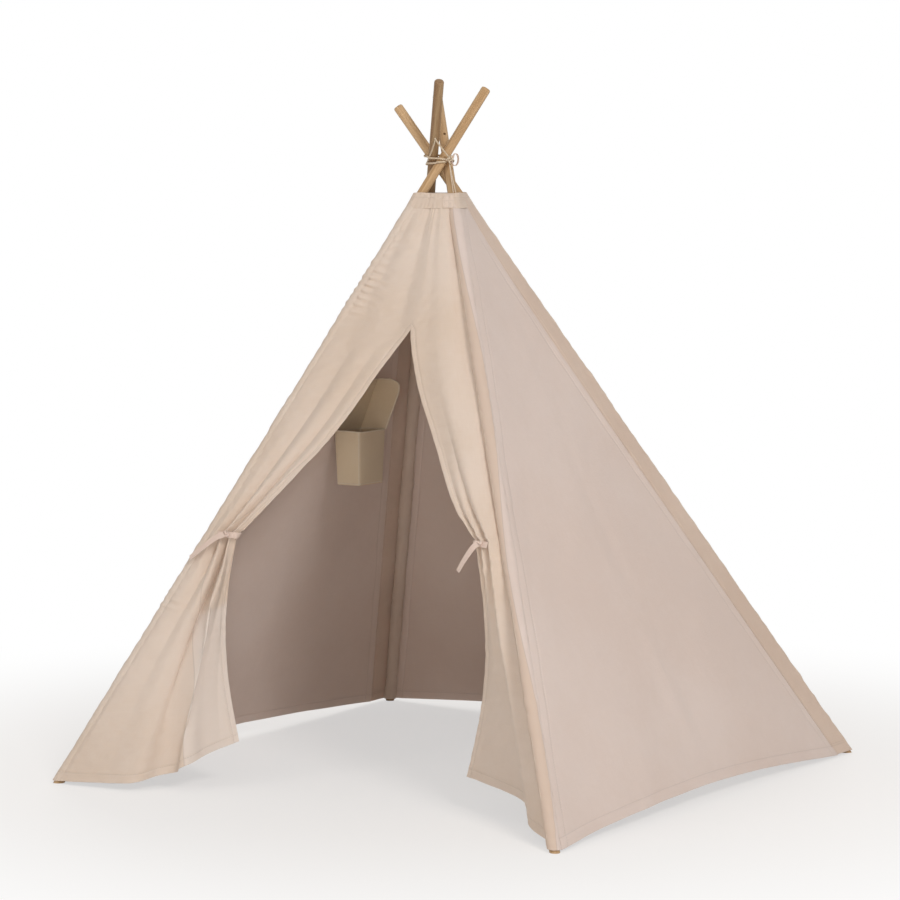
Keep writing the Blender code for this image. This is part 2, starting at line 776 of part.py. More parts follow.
def build_lashing(builder, poles, rope, ribbon):
    """Turns of rope that clear the poles both set up and folded, a knot and a bow."""
    bundle = poles + [pole.folded() for pole in poles]
    clearance = ROPE_DIAMETER / 2 + EDGE_GAP
    path = []
    count = ROPE_TURNS * ROPE_POINTS_PER_TURN
    for index in range(count + 1):
        progress = index / ROPE_POINTS_PER_TURN
        turn = KNOT_TURN - math.tau * progress
        swell = (1 - math.cos(math.tau * progress)) / 2
        swing = -ROPE_FALL if progress < 1 else ROPE_RISE
        height = CROSSING_HEIGHT + ROPE_PITCH * (progress - 1) + swing * swell
        path.append(bundle_point(bundle, height, turn, clearance))
    builder.tube("lashing_rope", path, ROPE_DIAMETER, rope, "cover", resolution=1)
    gap = least_gap_to_itself(path, ROPE_DIAMETER)
    print("lashing_rope: least gap to itself", round(gap, 5), "m")

    reach = ROPE_DIAMETER + EDGE_GAP + GAP + ROPE_KNOT_THICKNESS / 2
    centre = bundle_point(bundle, CROSSING_HEIGHT, KNOT_TURN, reach)
    bm = oval_solid(centre, UP, ROPE_KNOT_LENGTH, ROPE_KNOT_THICKNESS)
    builder.from_bmesh("lashing_knot", bm, rope, "cover")

    bow_turn = KNOT_TURN + math.pi / 2
    aside = Vector((math.cos(bow_turn), math.sin(bow_turn), 0))
    bow_reach = BOW_WIDTH / 2 + BOW_STRAND_DIAMETER / 2 + ROPE_KNOT_THICKNESS / 2 + GAP
    bow_centre = centre + aside * bow_reach
    bow = []
    for index in range(KNOT_SEGMENTS * 2):
        turn = math.tau * index / (KNOT_SEGMENTS * 2)
        across = aside * (math.cos(turn) * BOW_WIDTH / 2)
        bow.append(bow_centre + across + UP * (math.sin(turn) * BOW_LENGTH / 2))
    builder.tube(
        "lashing_bow", bow, BOW_STRAND_DIAMETER, ribbon, "cover", resolution=1, cyclic=True)
    return centre


def even_loop(points, count):
    """Points at even distances round a closed loop."""
    ends = points[1:] + points[:1]
    steps = [(end - point).length for point, end in zip(points, ends)]
    apart = sum(steps) / count
    loop = []
    index = 0
    passed = 0.0
    for number in range(count):
        while passed + steps[index] < apart * number:
            passed += steps[index]
            index += 1
        share = (apart * number - passed) / steps[index]
        loop.append(points[index].lerp(ends[index], share))
    return loop


def band_loop(poles, height, clearance):
    """The outline round all the sleeves at a height, begun at the back right corner."""
    reach = SLEEVE_RADIUS - POLE_RADIUS + clearance
    loop = []
    for index in range(BAND_MEASURED_POINTS):
        turn = math.tau * (index / BAND_MEASURED_POINTS + 1 / 8)
        loop.append(bundle_point(poles, height, turn, reach))
    return even_loop(loop, BAND_POINTS)


def build_band(builder, poles, cloth):
    """The doubled hem round the cover's top."""
    rows = range(BAND_ROWS + 1)
    heights = [COVER_TOP - BAND_HEIGHT * (1 - row / BAND_ROWS) for row in rows]
    inner_clearance = EDGE_GAP * 4
    outer_clearance = inner_clearance + CLOTH_THICKNESS
    outer = [band_loop(poles, height, outer_clearance) for height in heights]
    inner = [band_loop(poles, height, inner_clearance) for height in heights]
    builder.from_bmesh("top_band", hollow_loft(outer, inner), cloth, "cover")


def build_hanging_cords(builder, poles, knot_centre, rope):
    """An inverted V of thin cord from under the knot to the cover's top."""
    drop = ROPE_KNOT_LENGTH / 2 + HANGING_CORD_DIAMETER / 2 + GAP
    top = knot_centre - UP * drop
    band_reach = SLEEVE_RADIUS - POLE_RADIUS + EDGE_GAP * 4 + CLOTH_THICKNESS / 2
    turn_gap = HANGING_CORD_SPREAD / (knot_centre - CROSSING).length
    ends = []
    for side in (-1, 1):
        turn = KNOT_TURN - turn_gap + side * turn_gap / 2
        foot = bundle_point(poles, COVER_TOP, turn, band_reach)
        foot.z = COVER_TOP + HANGING_CORD_DIAMETER / 2 + GAP
        ends.append(foot)
    builder.tube(
        "hanging_cords", [ends[0], top, ends[1]], HANGING_CORD_DIAMETER, rope, "cover")


def wall_inside_x(wall, height):
    """Where the left wall's inner face stands behind the pocket."""
    start, run, outward, width = wall.frame(height)
    along = width / 2 - POCKET_BACK_SHIFT
    return wall.point(along, height, WALL_SAG + CLOTH_THICKNESS / 2).x


def build_pocket(builder, left, cloth, trim):
    """A hanging box, a plate on the wall behind it and a tall side with a rounded corner."""
    low = POCKET_RIM_HEIGHT - POCKET_HEIGHT
    start, run, outward, width = left.frame(POCKET_RIM_HEIGHT)
    middle_y = (start + run * (width / 2 - POCKET_BACK_SHIFT)).y
    back = wall_inside_x(left, POCKET_RIM_HEIGHT) + CLOTH_THICKNESS + GAP * 3
    size = Vector((POCKET_DEPTH, POCKET_WIDTH, POCKET_HEIGHT))
    centre = Vector((back + POCKET_DEPTH / 2, middle_y, low + POCKET_HEIGHT / 2))
    bm = bmesh.new()
    bmesh.ops.create_cube(bm, size=1.0)
    for vert in bm.verts:
        taper = POCKET_TAPER_SHARE if vert.co.z < 0 else 1.0
        vert.co = Vector((
            centre.x + vert.co.x * size.x * taper,
            centre.y + vert.co.y * size.y * taper,
            centre.z + vert.co.z * size.z,
        ))
    lid = [face for face in bm.faces if face.normal.z > 0.5]
    bmesh.ops.delete(bm, geom=lid, context="FACES_ONLY")
    box = builder.from_bmesh("pocket_box", bm, cloth, "back_left", smooth=False)
    solidify = box.modifiers.new("cloth thickness", "SOLIDIFY")
    solidify.thickness = CLOTH_THICKNESS
    solidify.offset = -1
    solidify.use_even_offset = True

    plate_low = POCKET_RIM_HEIGHT + GAP
    plate_high = POCKET_RIM_HEIGHT + POCKET_SIDE_RISE

    def plate(across, row):
        height = plate_low + (plate_high - plate_low) * row / 4
        start, run, outward, width = left.frame(height)
        along = width / 2 - POCKET_BACK_SHIFT + POCKET_WIDTH * (across - 0.5)
        share = (height - SLEEVE_LIFT) / (COVER_TOP - SLEEVE_LIFT)
        sag = WALL_SAG * math.sin(math.pi * along / width) * math.sin(math.pi * share)
        return left.point(along, height, sag + CLOTH_THICKNESS + GAP * 2)

    builder.sheet("pocket_back", 6, 4, plate, cloth, "back_left")
    build_pocket_side(builder, left, centre, plate_low, plate_high, trim)


def build_pocket_side(builder, left, centre, low, high, trim):
    corner = POCKET_CORNER_RADIUS
    inset = CLOTH_THICKNESS + GAP * 4

    def wall_x(height):
        return wall_inside_x(left, height) + inset

    outline = [(wall_x(low), low), (wall_x(low) + POCKET_DEPTH, low)]
    arc = 6
    for index in range(arc + 1):
        turn = math.pi / 2 * index / arc
        height = high - corner + corner * math.sin(turn)
        outline.append((wall_x(height) + POCKET_DEPTH - corner + corner * math.cos(turn), height))
    outline.append((wall_x(high), high))
    far_y = centre.y + POCKET_WIDTH / 2 - CLOTH_THICKNESS / 2
    faces = []
    for side in (-1, 1):
        y = far_y + side * CLOTH_THICKNESS / 2
        faces.append([Vector((x, y, z)) for x, z in outline])
    builder.from_bmesh("pocket_side", solid_loft(faces), trim, "back_left", smooth=False)


def main():
    clear_scene()
    collection = new_collection("kids_teepee")
    wood = new_material("pine wood", (0.62, 0.42, 0.24), 0.55)
    metal = new_material("connector metal", (0.62, 0.62, 0.63), 0.35, 1.0)
    cotton = new_material("cotton canvas", (0.665, 0.560, 0.490), 0.90)
    shade_cotton = new_material("pocket canvas", (0.640, 0.520, 0.420), 0.90)
    rope = new_material("cotton rope", (0.80, 0.66, 0.48), 0.85)
    ribbon = new_material("cotton ribbon", (0.83, 0.72, 0.66), 0.80)

    pivots = {}
    builder = Builder(collection, pivots)
    cutters = Builder(new_collection("cutters"), pivots)
    offset = crossing_offset()
    poles = [Pole(name, offset) for name in CORNERS]
    front_left, front_right, back_right, back_left = poles
    for pole in poles:
        builder.add_pivot(pole.name, pole.pivot)
    builder.add_pivot("cover", Vector((0, 0, 0)))

    front = Wall(front_left, front_right, FRONT_SEAM_WIDTH, FRONT_SEAM_WIDTH)
    right = Wall(front_right, back_right, 0.0, SIDE_SEAM_WIDTH)
    back = Wall(back_right, back_left)
    left = Wall(back_left, front_left, SIDE_SEAM_WIDTH, 0.0)

    build_poles(builder, cutters, poles, wood, metal)
    seams = ((front_left, front), (front_right, front), (back_right, right), (back_left, left))
    build_sleeves(builder, seams, cotton)
    build_wall(builder, "right_wall", right, cotton)
    build_wall(builder, "back_wall", back, cotton)
    build_wall(builder, "left_wall", left, cotton)
    build_yoke(builder, front, cotton)
    build_band(builder, poles, cotton)
    left_flap = Flap(
        "left", front, front_left, LEFT_WAIST_HEIGHT, LEFT_WAIST_WIDTH, LEFT_HEM_SHARES)
    right_flap = Flap(
        "right", front, front_right, RIGHT_WAIST_HEIGHT, RIGHT_WAIST_WIDTH, RIGHT_HEM_SHARES)
    for flap, route in ((left_flap, LEFT_TAIL_ROUTE), (right_flap, RIGHT_TAIL_ROUTE)):
        flap.build(builder, cotton)
        build_tieback(builder, flap, route, ribbon)
    knot_centre = build_lashing(builder, poles, rope, ribbon)
    build_hanging_cords(builder, poles, knot_centre, rope)
    build_pocket(builder, left, cotton, shade_cotton)


main()
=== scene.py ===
"""Looks of the teepee: canvas with seams and folds, wood, rope and ribbon, and the studio."""

import copy
import math

import bmesh
import bpy
import numpy as np
from mathutils import Matrix, Vector


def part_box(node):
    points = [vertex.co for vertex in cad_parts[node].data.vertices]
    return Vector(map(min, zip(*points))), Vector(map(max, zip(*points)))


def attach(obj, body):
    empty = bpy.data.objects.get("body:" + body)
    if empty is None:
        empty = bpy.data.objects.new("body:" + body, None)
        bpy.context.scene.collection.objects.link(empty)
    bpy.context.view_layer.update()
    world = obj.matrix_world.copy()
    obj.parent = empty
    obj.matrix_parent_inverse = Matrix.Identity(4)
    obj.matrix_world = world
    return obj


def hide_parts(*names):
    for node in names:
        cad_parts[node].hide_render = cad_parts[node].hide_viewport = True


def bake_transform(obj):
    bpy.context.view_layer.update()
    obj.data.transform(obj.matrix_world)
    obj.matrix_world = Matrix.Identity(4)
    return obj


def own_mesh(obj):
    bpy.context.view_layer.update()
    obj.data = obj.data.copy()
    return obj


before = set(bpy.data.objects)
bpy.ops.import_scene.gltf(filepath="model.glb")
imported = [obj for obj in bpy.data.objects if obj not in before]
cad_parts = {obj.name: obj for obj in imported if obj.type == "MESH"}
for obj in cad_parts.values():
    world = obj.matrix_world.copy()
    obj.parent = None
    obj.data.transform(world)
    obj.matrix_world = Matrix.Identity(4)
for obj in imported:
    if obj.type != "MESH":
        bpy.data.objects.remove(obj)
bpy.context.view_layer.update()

# The CAD model's lengths, in metres
HALF = 0.600
CROSSING = np.array((-0.037, -0.025, 1.278))
COVER_TOP = 1.209
SLIT_TOP = 0.935
POLE_R = 0.010
SLEEVE_R = 0.0127
CLOTH = 0.0012
SEAM_TIP_R = 0.0015
LOW = 0.006
HEM_ARCH = 0.026
WALL_SAG = 0.008
FOLD_LIMIT = math.radians(26)
UP = np.array((0.0, 0.0, 1.0))


def unit(v):
    v = np.asarray(v, float)
    return v / np.linalg.norm(v, axis=-1, keepdims=True)


def level_way(turn):
    return np.array((math.cos(turn), math.sin(turn), 0.0))


class Pole:
    def __init__(self, name, sx, sy, tip, shift, offset):
        self.name = name
        self.body = "pole_" + name
        self.foot = np.array((sx * HALF, sy * HALF, 0.0))
        out = self.foot - CROSSING
        out[2] = 0
        self.outward = unit(out)
        self.tangent = np.cross(UP, self.outward)
        self.pivot = CROSSING - np.array((shift, 0, 0)) + self.tangent * offset
        run = self.pivot - self.foot
        self.length = np.linalg.norm(run) + tip
        self.dir = unit(run)
        self.slope = self.dir / self.dir[2]

    def at(self, z):
        return self.foot + np.multiply.outer(np.asarray(z, float) - self.foot[2], self.slope)

    def reach(self, normal, radius):
        lean = normal @ self.slope
        return radius * np.sqrt(1 + lean * lean)

    def folded(self, points):
        """Where points go when this pole is folded to its limit."""
        turn = np.array(Matrix.Rotation(FOLD_LIMIT, 3, Vector(self.tangent)))
        return (points - self.pivot) @ turn.T + self.pivot

    def folded_pole(self):
        """This pole as it stands when the teepee is folded."""
        pole = copy.copy(self)
        pole.foot = self.folded(self.foot)
        pole.dir = unit(self.folded(self.foot + self.dir) - pole.foot)
        pole.slope = pole.dir / pole.dir[2]
        return pole


OFFSET = 0.01683014
FL = Pole("front_left", -1, -1, 0.174, 0.0, OFFSET)
FR = Pole("front_right", 1, -1, 0.162, 0.004, OFFSET)
BR = Pole("back_right", 1, 1, 0.135, 0.0125, OFFSET)
BL = Pole("back_left", -1, 1, 0.192, 0.0, OFFSET)
POLES = (FL, FR, BR, BL)
BUNDLE = POLES + tuple(pole.folded_pole() for pole in POLES)


def waves(x, y, seed, count, low, high, stretch=1.0):
    """A smooth, repeatable unevenness made of plain waves of mixed lengths, from -1 to 1."""
    rng = np.random.default_rng(seed)
    total = np.zeros(np.broadcast(x, y).shape)
    for _ in range(count):
        length = low * (high / low) ** rng.random()
        turn = rng.random() * math.tau
        phase = rng.random() * math.tau
        k = math.tau / length
        total += np.sin(k * (math.cos(turn) * x + math.sin(turn) * y * stretch) + phase)
    return total / math.sqrt(count * 0.5) * 0.5


def smooth(low, high, x):
    t = np.clip((x - low) / (high - low), 0, 1)
    return t * t * (3 - 2 * t)


class Wall:
    """The cloth's middle surface between two poles, as in the CAD model."""

    def __init__(self, first, second, first_seam=0.0, second_seam=0.0):
        self.first, self.second = first, second
        self.seams = {first.name: first_seam, second.name: second_seam}

    def frame(self, z):
        start = self.first.at(z)
        run = self.second.at(z) - start
        width = np.linalg.norm(run, axis=-1)
        run = run / width[..., None]
        outward = np.stack([run[..., 1], -run[..., 0], np.zeros_like(width)], -1)
        return start, run, outward, width

    def point(self, along, z, depth=0.0):
        start, run, outward, width = self.frame(z)
        middle = SLEEVE_R - CLOTH / 2
        near = self.first.reach(outward, middle)
        far = self.second.reach(outward, middle)
        offset = near + (far - near) * along / width - depth
        return start + run * np.asarray(along)[..., None] + outward * np.asarray(offset)[..., None]

    def seam(self, pole, z):
        """Level distance from a pole to its seam."""
        width = self.frame(z)[3]
        allowed = self.seams[pole.name]
        return allowed * 2.5 * width / (allowed + 2.5 * width) if allowed else width * 0

    def edge(self, pole, z):
        """Level distance from a pole to where the wall's own cloth begins."""
        _, run, outward, _ = self.frame(z)
        if self.seams[pole.name]:
            return self.seam(pole, z) + SEAM_TIP_R * 1.12 + 0.0004
        inner = pole.reach(outward, SLEEVE_R - CLOTH)
        towards = run if pole is self.first else -run
        squeeze = pole.dir[2]
        a1, a2 = (towards @ pole.outward) * squeeze, towards @ pole.tangent
        f1, f2 = (outward @ pole.outward) * squeeze * inner, (outward @ pole.tangent) * inner
        square, half = a1 * a1 + a2 * a2, a1 * f1 + a2 * f2
        rest = f1 * f1 + f2 * f2 - (SLEEVE_R + 0.0003) ** 2
        return (np.sqrt(half * half - square * rest) - half) / square


FRONT = Wall(FL, FR)
RIGHT = Wall(FR, BR, 0.0, 0.060)
BACK = Wall(BR, BL)
LEFT = Wall(BL, FL, 0.060, 0.0)


# Materials

class Net:
    """Short calls for building nodes. An input is a socket to link to, or a plain value."""

    def __init__(self, tree):
        self.tree = tree

    def settle(self, node, inputs):
        for key, value in inputs.items():
            if isinstance(value, bpy.types.NodeSocket):
                self.tree.links.new(value, node.inputs[key])
            else:
                node.inputs[key].default_value = value

    def make(self, kind, inputs=None, **settings):
        node = self.tree.nodes.new(kind)
        for key, value in settings.items():
            setattr(node, key, value)
        self.settle(node, inputs or {})
        return node

    def math(self, operation, a, b=0.0):
        return self.make("ShaderNodeMath", {0: a, 1: b}, operation=operation).outputs[0]

    def add(self, a, b):
        return self.math("ADD", a, b)

    def times(self, a, b):
        return self.math("MULTIPLY", a, b)

    def gap(self, a, b):
        return self.math("ABSOLUTE", self.math("SUBTRACT", a, b))

    def wave(self, along, length):
        return self.math("SINE", self.times(along, math.tau / length))

    def place(self):
        return self.make("ShaderNodeTexCoord").outputs["Object"]

    def cloth_map(self, name):
        """A place on the cloth, whole and as its two distances."""
        uv = self.make("ShaderNodeUVMap", uv_map=name).outputs["UV"]
        split = self.make("ShaderNodeSeparateXYZ", {0: uv}).outputs
        return uv, split["X"], split["Y"]

    def scaled(self, vector, *factors):
        return self.make("ShaderNodeMapping", {0: vector, 3: factors}).outputs[0]

    def noise(self, vector, scale, detail=2.0, rough=0.5):
        return self.make("ShaderNodeTexNoise", {
            "Vector": vector, "Scale": scale, "Detail": detail, "Roughness": rough}).outputs["Fac"]

    def span(self, value, low, high, to_low=0.0, to_high=1.0, kind="SMOOTHSTEP"):
        return self.make("ShaderNodeMapRange", {
            "Value": value, "From Min": low, "From Max": high,
            "To Min": to_low, "To Max": to_high}, interpolation_type=kind).outputs["Result"]

    def bump(self, height, distance, strength, under=None):
        inputs = {"Height": height, "Distance": distance, "Strength": strength}
        if under is not None:
            inputs["Normal"] = under
        return self.make("ShaderNodeBump", inputs).outputs["Normal"]

    def mix(self, factor, a, b):
        a, b = (c if isinstance(c, bpy.types.NodeSocket) else (*c, 1.0) for c in (a, b))
        return self.make("ShaderNodeMix", {0: factor, 6: a, 7: b}, data_type="RGBA").outputs[2]


def new_material(name):
    material = bpy.data.materials.new(name)
    material.use_nodes = True
    net = Net(material.node_tree)
    return material, net, net.tree.nodes["Principled BSDF"]


def stitch(net, u, v, place, pitch=0.0042):
    """A dashed line of thread along v at u = place: its mask, and the dent that it sits in."""
    off = net.gap(u, place)
    dash = net.math("LESS_THAN", net.math("FRACT", net.math("DIVIDE", v, pitch)), 0.70)
    line = net.times(net.span(off, 0.0005, 0.0009, 1.0, 0.0), dash)
    return line, net.span(off, 0.0, 0.0045, 1.0, 0.0)


def canvas(name, color, tint, u_lines=(), v_lines=(), weave=0.0017, crease=1.0, facing=None):
    """Cotton canvas. The weave lies along the cloth, and the stitches along its edges.

    A facing has its width at the hem, how fast it narrows upwards, its height and its colour. It is
    a panel painted over the cloth: on the left flap a paler facing, partly its own colour and
    partly painted light, and on the front right sleeve a strip darkened as painted shade.
    """
    material, net, shader = new_material(name)
    uv, u, v = net.cloth_map("cloth")
    _, edge_u, edge_v = net.cloth_map("edges")
    place = net.place()
    slub = net.add(net.noise(net.scaled(uv, 900.0, 26.0, 1.0), 1.0, 1.0),
                   net.noise(net.scaled(uv, 26.0, 900.0, 1.0), 1.0, 1.0))
    threads = net.times(net.wave(u, weave), net.wave(v, weave))
    height = net.add(net.times(threads, 0.30), slub)

    tone = net.add(net.times(net.noise(place, 3.2, 3.0), 0.65),
                   net.times(net.noise(place, 55.0), 0.10))
    tone = net.span(net.add(tone, net.times(slub, 0.13)), 0.36, 0.66)
    shade = net.mix(tone, tint, color)
    # painted panel: on the left flap a paler facing, partly painted light; on the front right
    # sleeve a darker strip of painted shade
    if facing:
        wide, narrowing, tall, pale = facing
        border = net.add(edge_u, net.times(edge_v, narrowing))
        inside = net.times(net.span(border, wide - 0.001, wide + 0.001, 1.0, 0.0),
                           net.span(edge_v, tall, tall + 0.02, 1.0, 0.0))
        shade = net.mix(net.times(inside, 0.85), shade, pale)
        # a dark line along the panel's border: on the left flap a seam darkened as painted shadow
        # where the facing stands proud; on the front right sleeve a line of painted shade
        seam = net.span(net.gap(border, wide), 0.0004, 0.0012, 1.0, 0.0)
        shade = net.mix(net.times(seam, 0.25), shade, [0.50 * c for c in color])

    normal = net.bump(net.noise(place, 17.0, 3.0, 0.62), 0.0022 * crease, 0.55)
    lowered = 0.0
    for axis, other, lines in ((edge_u, edge_v, u_lines), (edge_v, edge_u, v_lines)):
        for line in lines:
            mask, dent = stitch(net, axis, other, line)
            shade = net.mix(net.times(mask, 0.40), shade, [0.66 * c for c in color])
            lowered = net.math("MAXIMUM", lowered, dent)
    if u_lines or v_lines:
        normal = net.bump(net.times(lowered, -1.0), 0.0008, 0.9, normal)
    net.settle(shader, {
        "Base Color": shade, "Normal": net.bump(height, 0.00022, 0.6, normal),
        "Roughness": 0.92, "Specular IOR Level": 0.18,
        "Sheen Weight": 0.12, "Sheen Roughness": 0.45, "Subsurface Weight": 0.30,
        "Subsurface Radius": (1.0, 0.90, 0.80), "Subsurface Scale": 0.003})
    return material


PINE_EARLY = (0.380, 0.222, 0.100)
PINE_LATE = (0.640, 0.446, 0.258)
PINE_KNOT = (0.23, 0.12, 0.06)
# painted shade: the wood of the back left and front right poles is painted darker
PINE_PAINTED_SHADE = {"back_left": 0.64, "front_right": 0.92}


def wood(pole):
    """Bare pine with its grain along one pole."""
    material, net, shader = new_material("pine_" + pole.name)
    place = net.place()
    ways = [net.make("ShaderNodeVectorMath", {0: place, 1: tuple(way)},
                     operation="DOT_PRODUCT").outputs["Value"]
            for way in (pole.tangent, np.cross(pole.dir, pole.tangent), pole.dir)]
    lined = net.make("ShaderNodeCombineXYZ", dict(enumerate(ways))).outputs[0]
    long_grain = net.scaled(lined, 1.0, 1.0, 0.045)
    grain = net.noise(long_grain, 260.0, 4.0, 0.6)
    tone = net.add(net.times(grain, 0.45), net.times(net.noise(long_grain, 90.0), 0.55))
    ramp = net.make("ShaderNodeValToRGB", {0: tone})
    # some poles get darker wood colours, as painted shade
    shade = PINE_PAINTED_SHADE.get(pole.name, 1.0)
    for stop, at, color in zip(ramp.color_ramp.elements, (0.36, 0.64), (PINE_EARLY, PINE_LATE)):
        stop.position = at
        stop.color = (*(shade * c for c in color), 1.0)
    knots = net.span(net.noise(net.scaled(lined, 1.0, 1.0, 0.35), 19.0, 1.0), 0.67, 0.74)
    net.settle(shader, {
        "Base Color": net.mix(net.times(knots, 0.45), ramp.outputs[0], PINE_KNOT),
        "Roughness": net.span(grain, 0.3, 0.7, 0.52, 0.68, "LINEAR"),
        "Normal": net.bump(grain, 0.0003, 0.4), "Specular IOR Level": 0.35})
    return material


def metal():
    material, net, shader = new_material("connector_tube")
    brushed = net.noise(net.scaled(net.place(), 1.0, 1.0, 14.0), 160.0, 3.0)
    net.settle(shader, {
        "Base Color": net.mix(brushed, (0.50, 0.50, 0.51), (0.68, 0.68, 0.69)),
        "Roughness": net.span(brushed, 0.3, 0.7, 0.28, 0.42, "LINEAR"), "Metallic": 1.0})
    return material


def strand(name, light, dark, pitch=0.0011):
    """Twisted cotton yarn, laid out by cloth coordinates: u round it and v along it."""
    material, net, shader = new_material(name)
    _, u, v = net.cloth_map("cloth")
    tone = net.add(net.times(net.wave(net.add(u, v), pitch), 0.25), net.noise(net.place(), 900.0))
    net.settle(shader, {
        "Base Color": net.mix(net.span(tone, 0.25, 0.75), dark, light),
        "Normal": net.bump(tone, 0.0004, 0.7), "Roughness": 0.88, "Sheen Weight": 0.2})
    return material


CREAM = (0.705, 0.598, 0.548)
CREAM_TINT = (0.672, 0.558, 0.503)
WARM = (0.715, 0.605, 0.525)
WARM_TINT = (0.668, 0.545, 0.448)
SLEEVE = (0.680, 0.545, 0.455)
SLEEVE_TINT = (0.625, 0.488, 0.400)
WALL_CLOTH = canvas("canvas_wall", CREAM, CREAM_TINT, u_lines=(0.022,), v_lines=(0.018,))
FRONT_CLOTH = canvas("canvas_front", WARM, WARM_TINT, u_lines=(0.011,), v_lines=(0.018,))
# the left flap's facing is paler, partly its own colour and partly painted light, with a seam at
# its border darkened as painted shadow
FACED_CLOTH = canvas("canvas_faced", WARM, WARM_TINT, u_lines=(0.011,), v_lines=(0.018,),
                     facing=(0.119, 0.150, 0.345, (0.740, 0.650, 0.590)))
# on the front right sleeve a strip of the front cloth's colour, darkened as painted shade beside
# the wall's edge
CORNER_CLOTH = canvas("canvas_corner", CREAM, CREAM_TINT,
                      facing=(0.0, 0.0, 2.0, (0.640, 0.500, 0.405)))
SLEEVE_CLOTH = canvas("canvas_sleeve", SLEEVE, SLEEVE_TINT, crease=1.3)
SEAM_CLOTH = canvas("canvas_seam", SLEEVE, SLEEVE_TINT, u_lines=(-0.0035,),
                    v_lines=(0.018, 0.022), crease=1.3)
BAND_CLOTH = canvas("canvas_band", (0.690, 0.570, 0.480), (0.640, 0.515, 0.420),
                    v_lines=(0.022,))
PATCH_CLOTH = canvas("canvas_patch", (0.740, 0.615, 0.530), (0.700, 0.565, 0.475),
                     u_lines=(0.0, 0.0145, -0.0145), v_lines=(0.0, 0.0125, -0.0125))
POCKET_CLOTH = canvas("canvas_pocket", (0.740, 0.610, 0.450), (0.700, 0.560, 0.390),
                      weave=0.0015, crease=0.6)
PIPING = strand("piping", (0.80, 0.70, 0.56), (0.70, 0.58, 0.44), 0.002)
RIBBON_CLOTH = canvas("ribbon", (0.745, 0.610, 0.545), (0.690, 0.550, 0.480), weave=0.0008,
                      crease=0.3)
ROPE_YARN = strand("rope_yarn", (0.760, 0.640, 0.490), (0.520, 0.400, 0.270))
CORD_YARN = strand("cord_yarn", (0.780, 0.680, 0.560), (0.600, 0.480, 0.360), 0.0008)


# Mesh helpers

def new_object(name, data):
    node = bpy.data.objects.new(name, data)
    bpy.context.scene.collection.objects.link(node)
    return node


def grid_normals(points, closed):
    across = np.roll(points, -1, 1) - np.roll(points, 1, 1)
    if not closed:
        across[:, 0] = points[:, 1] - points[:, 0]
        across[:, -1] = points[:, -1] - points[:, -2]
    normals = np.cross(across, np.gradient(points, axis=0))
    return normals / np.maximum(np.linalg.norm(normals, axis=-1, keepdims=True), 1e-12)


def grid_piece(name, points, cloth_uv, material, outward=None, closed=False, thickness=CLOTH,
               edge_uv=None):
    """A cloth from a grid of points, thickened about its middle, with sharp borders.

    Rows run along the first axis. A closed grid joins its last column to its first one, so its
    cloth coordinates have one column more.
    """
    rows, cols = points.shape[:2]
    normals = grid_normals(points, closed)
    if outward is not None:
        towards = np.asarray(outward, float)
    else:
        towards = points - points.mean(1, keepdims=True) if closed else normals
    flip = (normals * towards).sum() < 0
    last = cols if closed else cols - 1
    r, c = (a.ravel() for a in np.meshgrid(np.arange(rows - 1), np.arange(last), indexing="ij"))
    corners = [(np.stack([r, r, r + 1, r + 1], -1), np.stack([c, c + 1, c + 1, c], -1), 0)]
    if thickness:
        corners.append((corners[0][0][:, ::-1], corners[0][1][:, ::-1], 1))
        rim = np.array([0, 0, 1, 1])
        c, r = np.arange(last), np.arange(rows - 1)
        for row, pair in ((0, (c + 1, c)), (rows - 1, (c, c + 1))):
            corners.append((np.full((last, 4), row),
                            np.stack([pair[0], pair[1], pair[1], pair[0]], -1), rim))
        for col, pair in ((0, (r, r + 1)), (cols - 1, (r + 1, r))):
            if not closed:
                corners.append((np.stack([pair[0], pair[1], pair[1], pair[0]], -1),
                                np.full((rows - 1, 4), col), rim))
        out = normals * (-0.5 if flip else 0.5) * thickness
        verts = np.concatenate([(points + out).reshape(-1, 3), (points - out).reshape(-1, 3)])
    else:
        verts = points.reshape(-1, 3)
    at_row = np.concatenate([a for a, b, c in corners])
    at_col = np.concatenate([b for a, b, c in corners])
    layer = np.concatenate([np.broadcast_to(c, a.shape) for a, b, c in corners])
    if flip:
        at_row, at_col, layer = at_row[:, ::-1], at_col[:, ::-1], layer[:, ::-1]
    quads = layer * rows * cols + at_row * cols + at_col % cols

    mesh = bpy.data.meshes.new(name)
    mesh.from_pydata(verts.tolist(), [], quads.tolist())
    for label, uv in (("cloth", cloth_uv), ("edges", edge_uv or cloth_uv)):
        u, v = (np.broadcast_to(axis, (rows, cols + closed)) for axis in uv)
        values = np.stack([u[at_row, at_col], v[at_row, at_col]], -1)
        mesh.uv_layers.new(name=label).data.foreach_set("uv", values.astype(np.float32).ravel())
    mesh.shade_smooth()
    border = np.zeros((rows, cols), bool)
    border[0] = border[-1] = True
    if not closed:
        border[:, 0] = border[:, -1] = True
    if thickness:
        border = np.concatenate([border.ravel()] * 2)
        ends = np.empty(len(mesh.edges) * 2, np.int32)
        mesh.edges.foreach_get("vertices", ends)
        sharp = border[ends.reshape(-1, 2)].all(-1)
        mesh.attributes.new("sharp_edge", "BOOLEAN", "EDGE").data.foreach_set("value", sharp)
    mesh.materials.append(material)
    return new_object(name, mesh)


def path_lengths(path):
    """How far along a path each of its points lies."""
    steps = np.linalg.norm(np.diff(path, axis=0), axis=-1)
    return np.concatenate([np.zeros_like(steps[:1]), np.cumsum(steps, 0)])


def evenly(path, count, closed=False):
    """The same path with evenly spaced points."""
    length = path_lengths(path)
    at = np.linspace(0, length[-1], count, endpoint=not closed)
    return np.stack([np.interp(at, length, path[:, k]) for k in range(3)], -1)


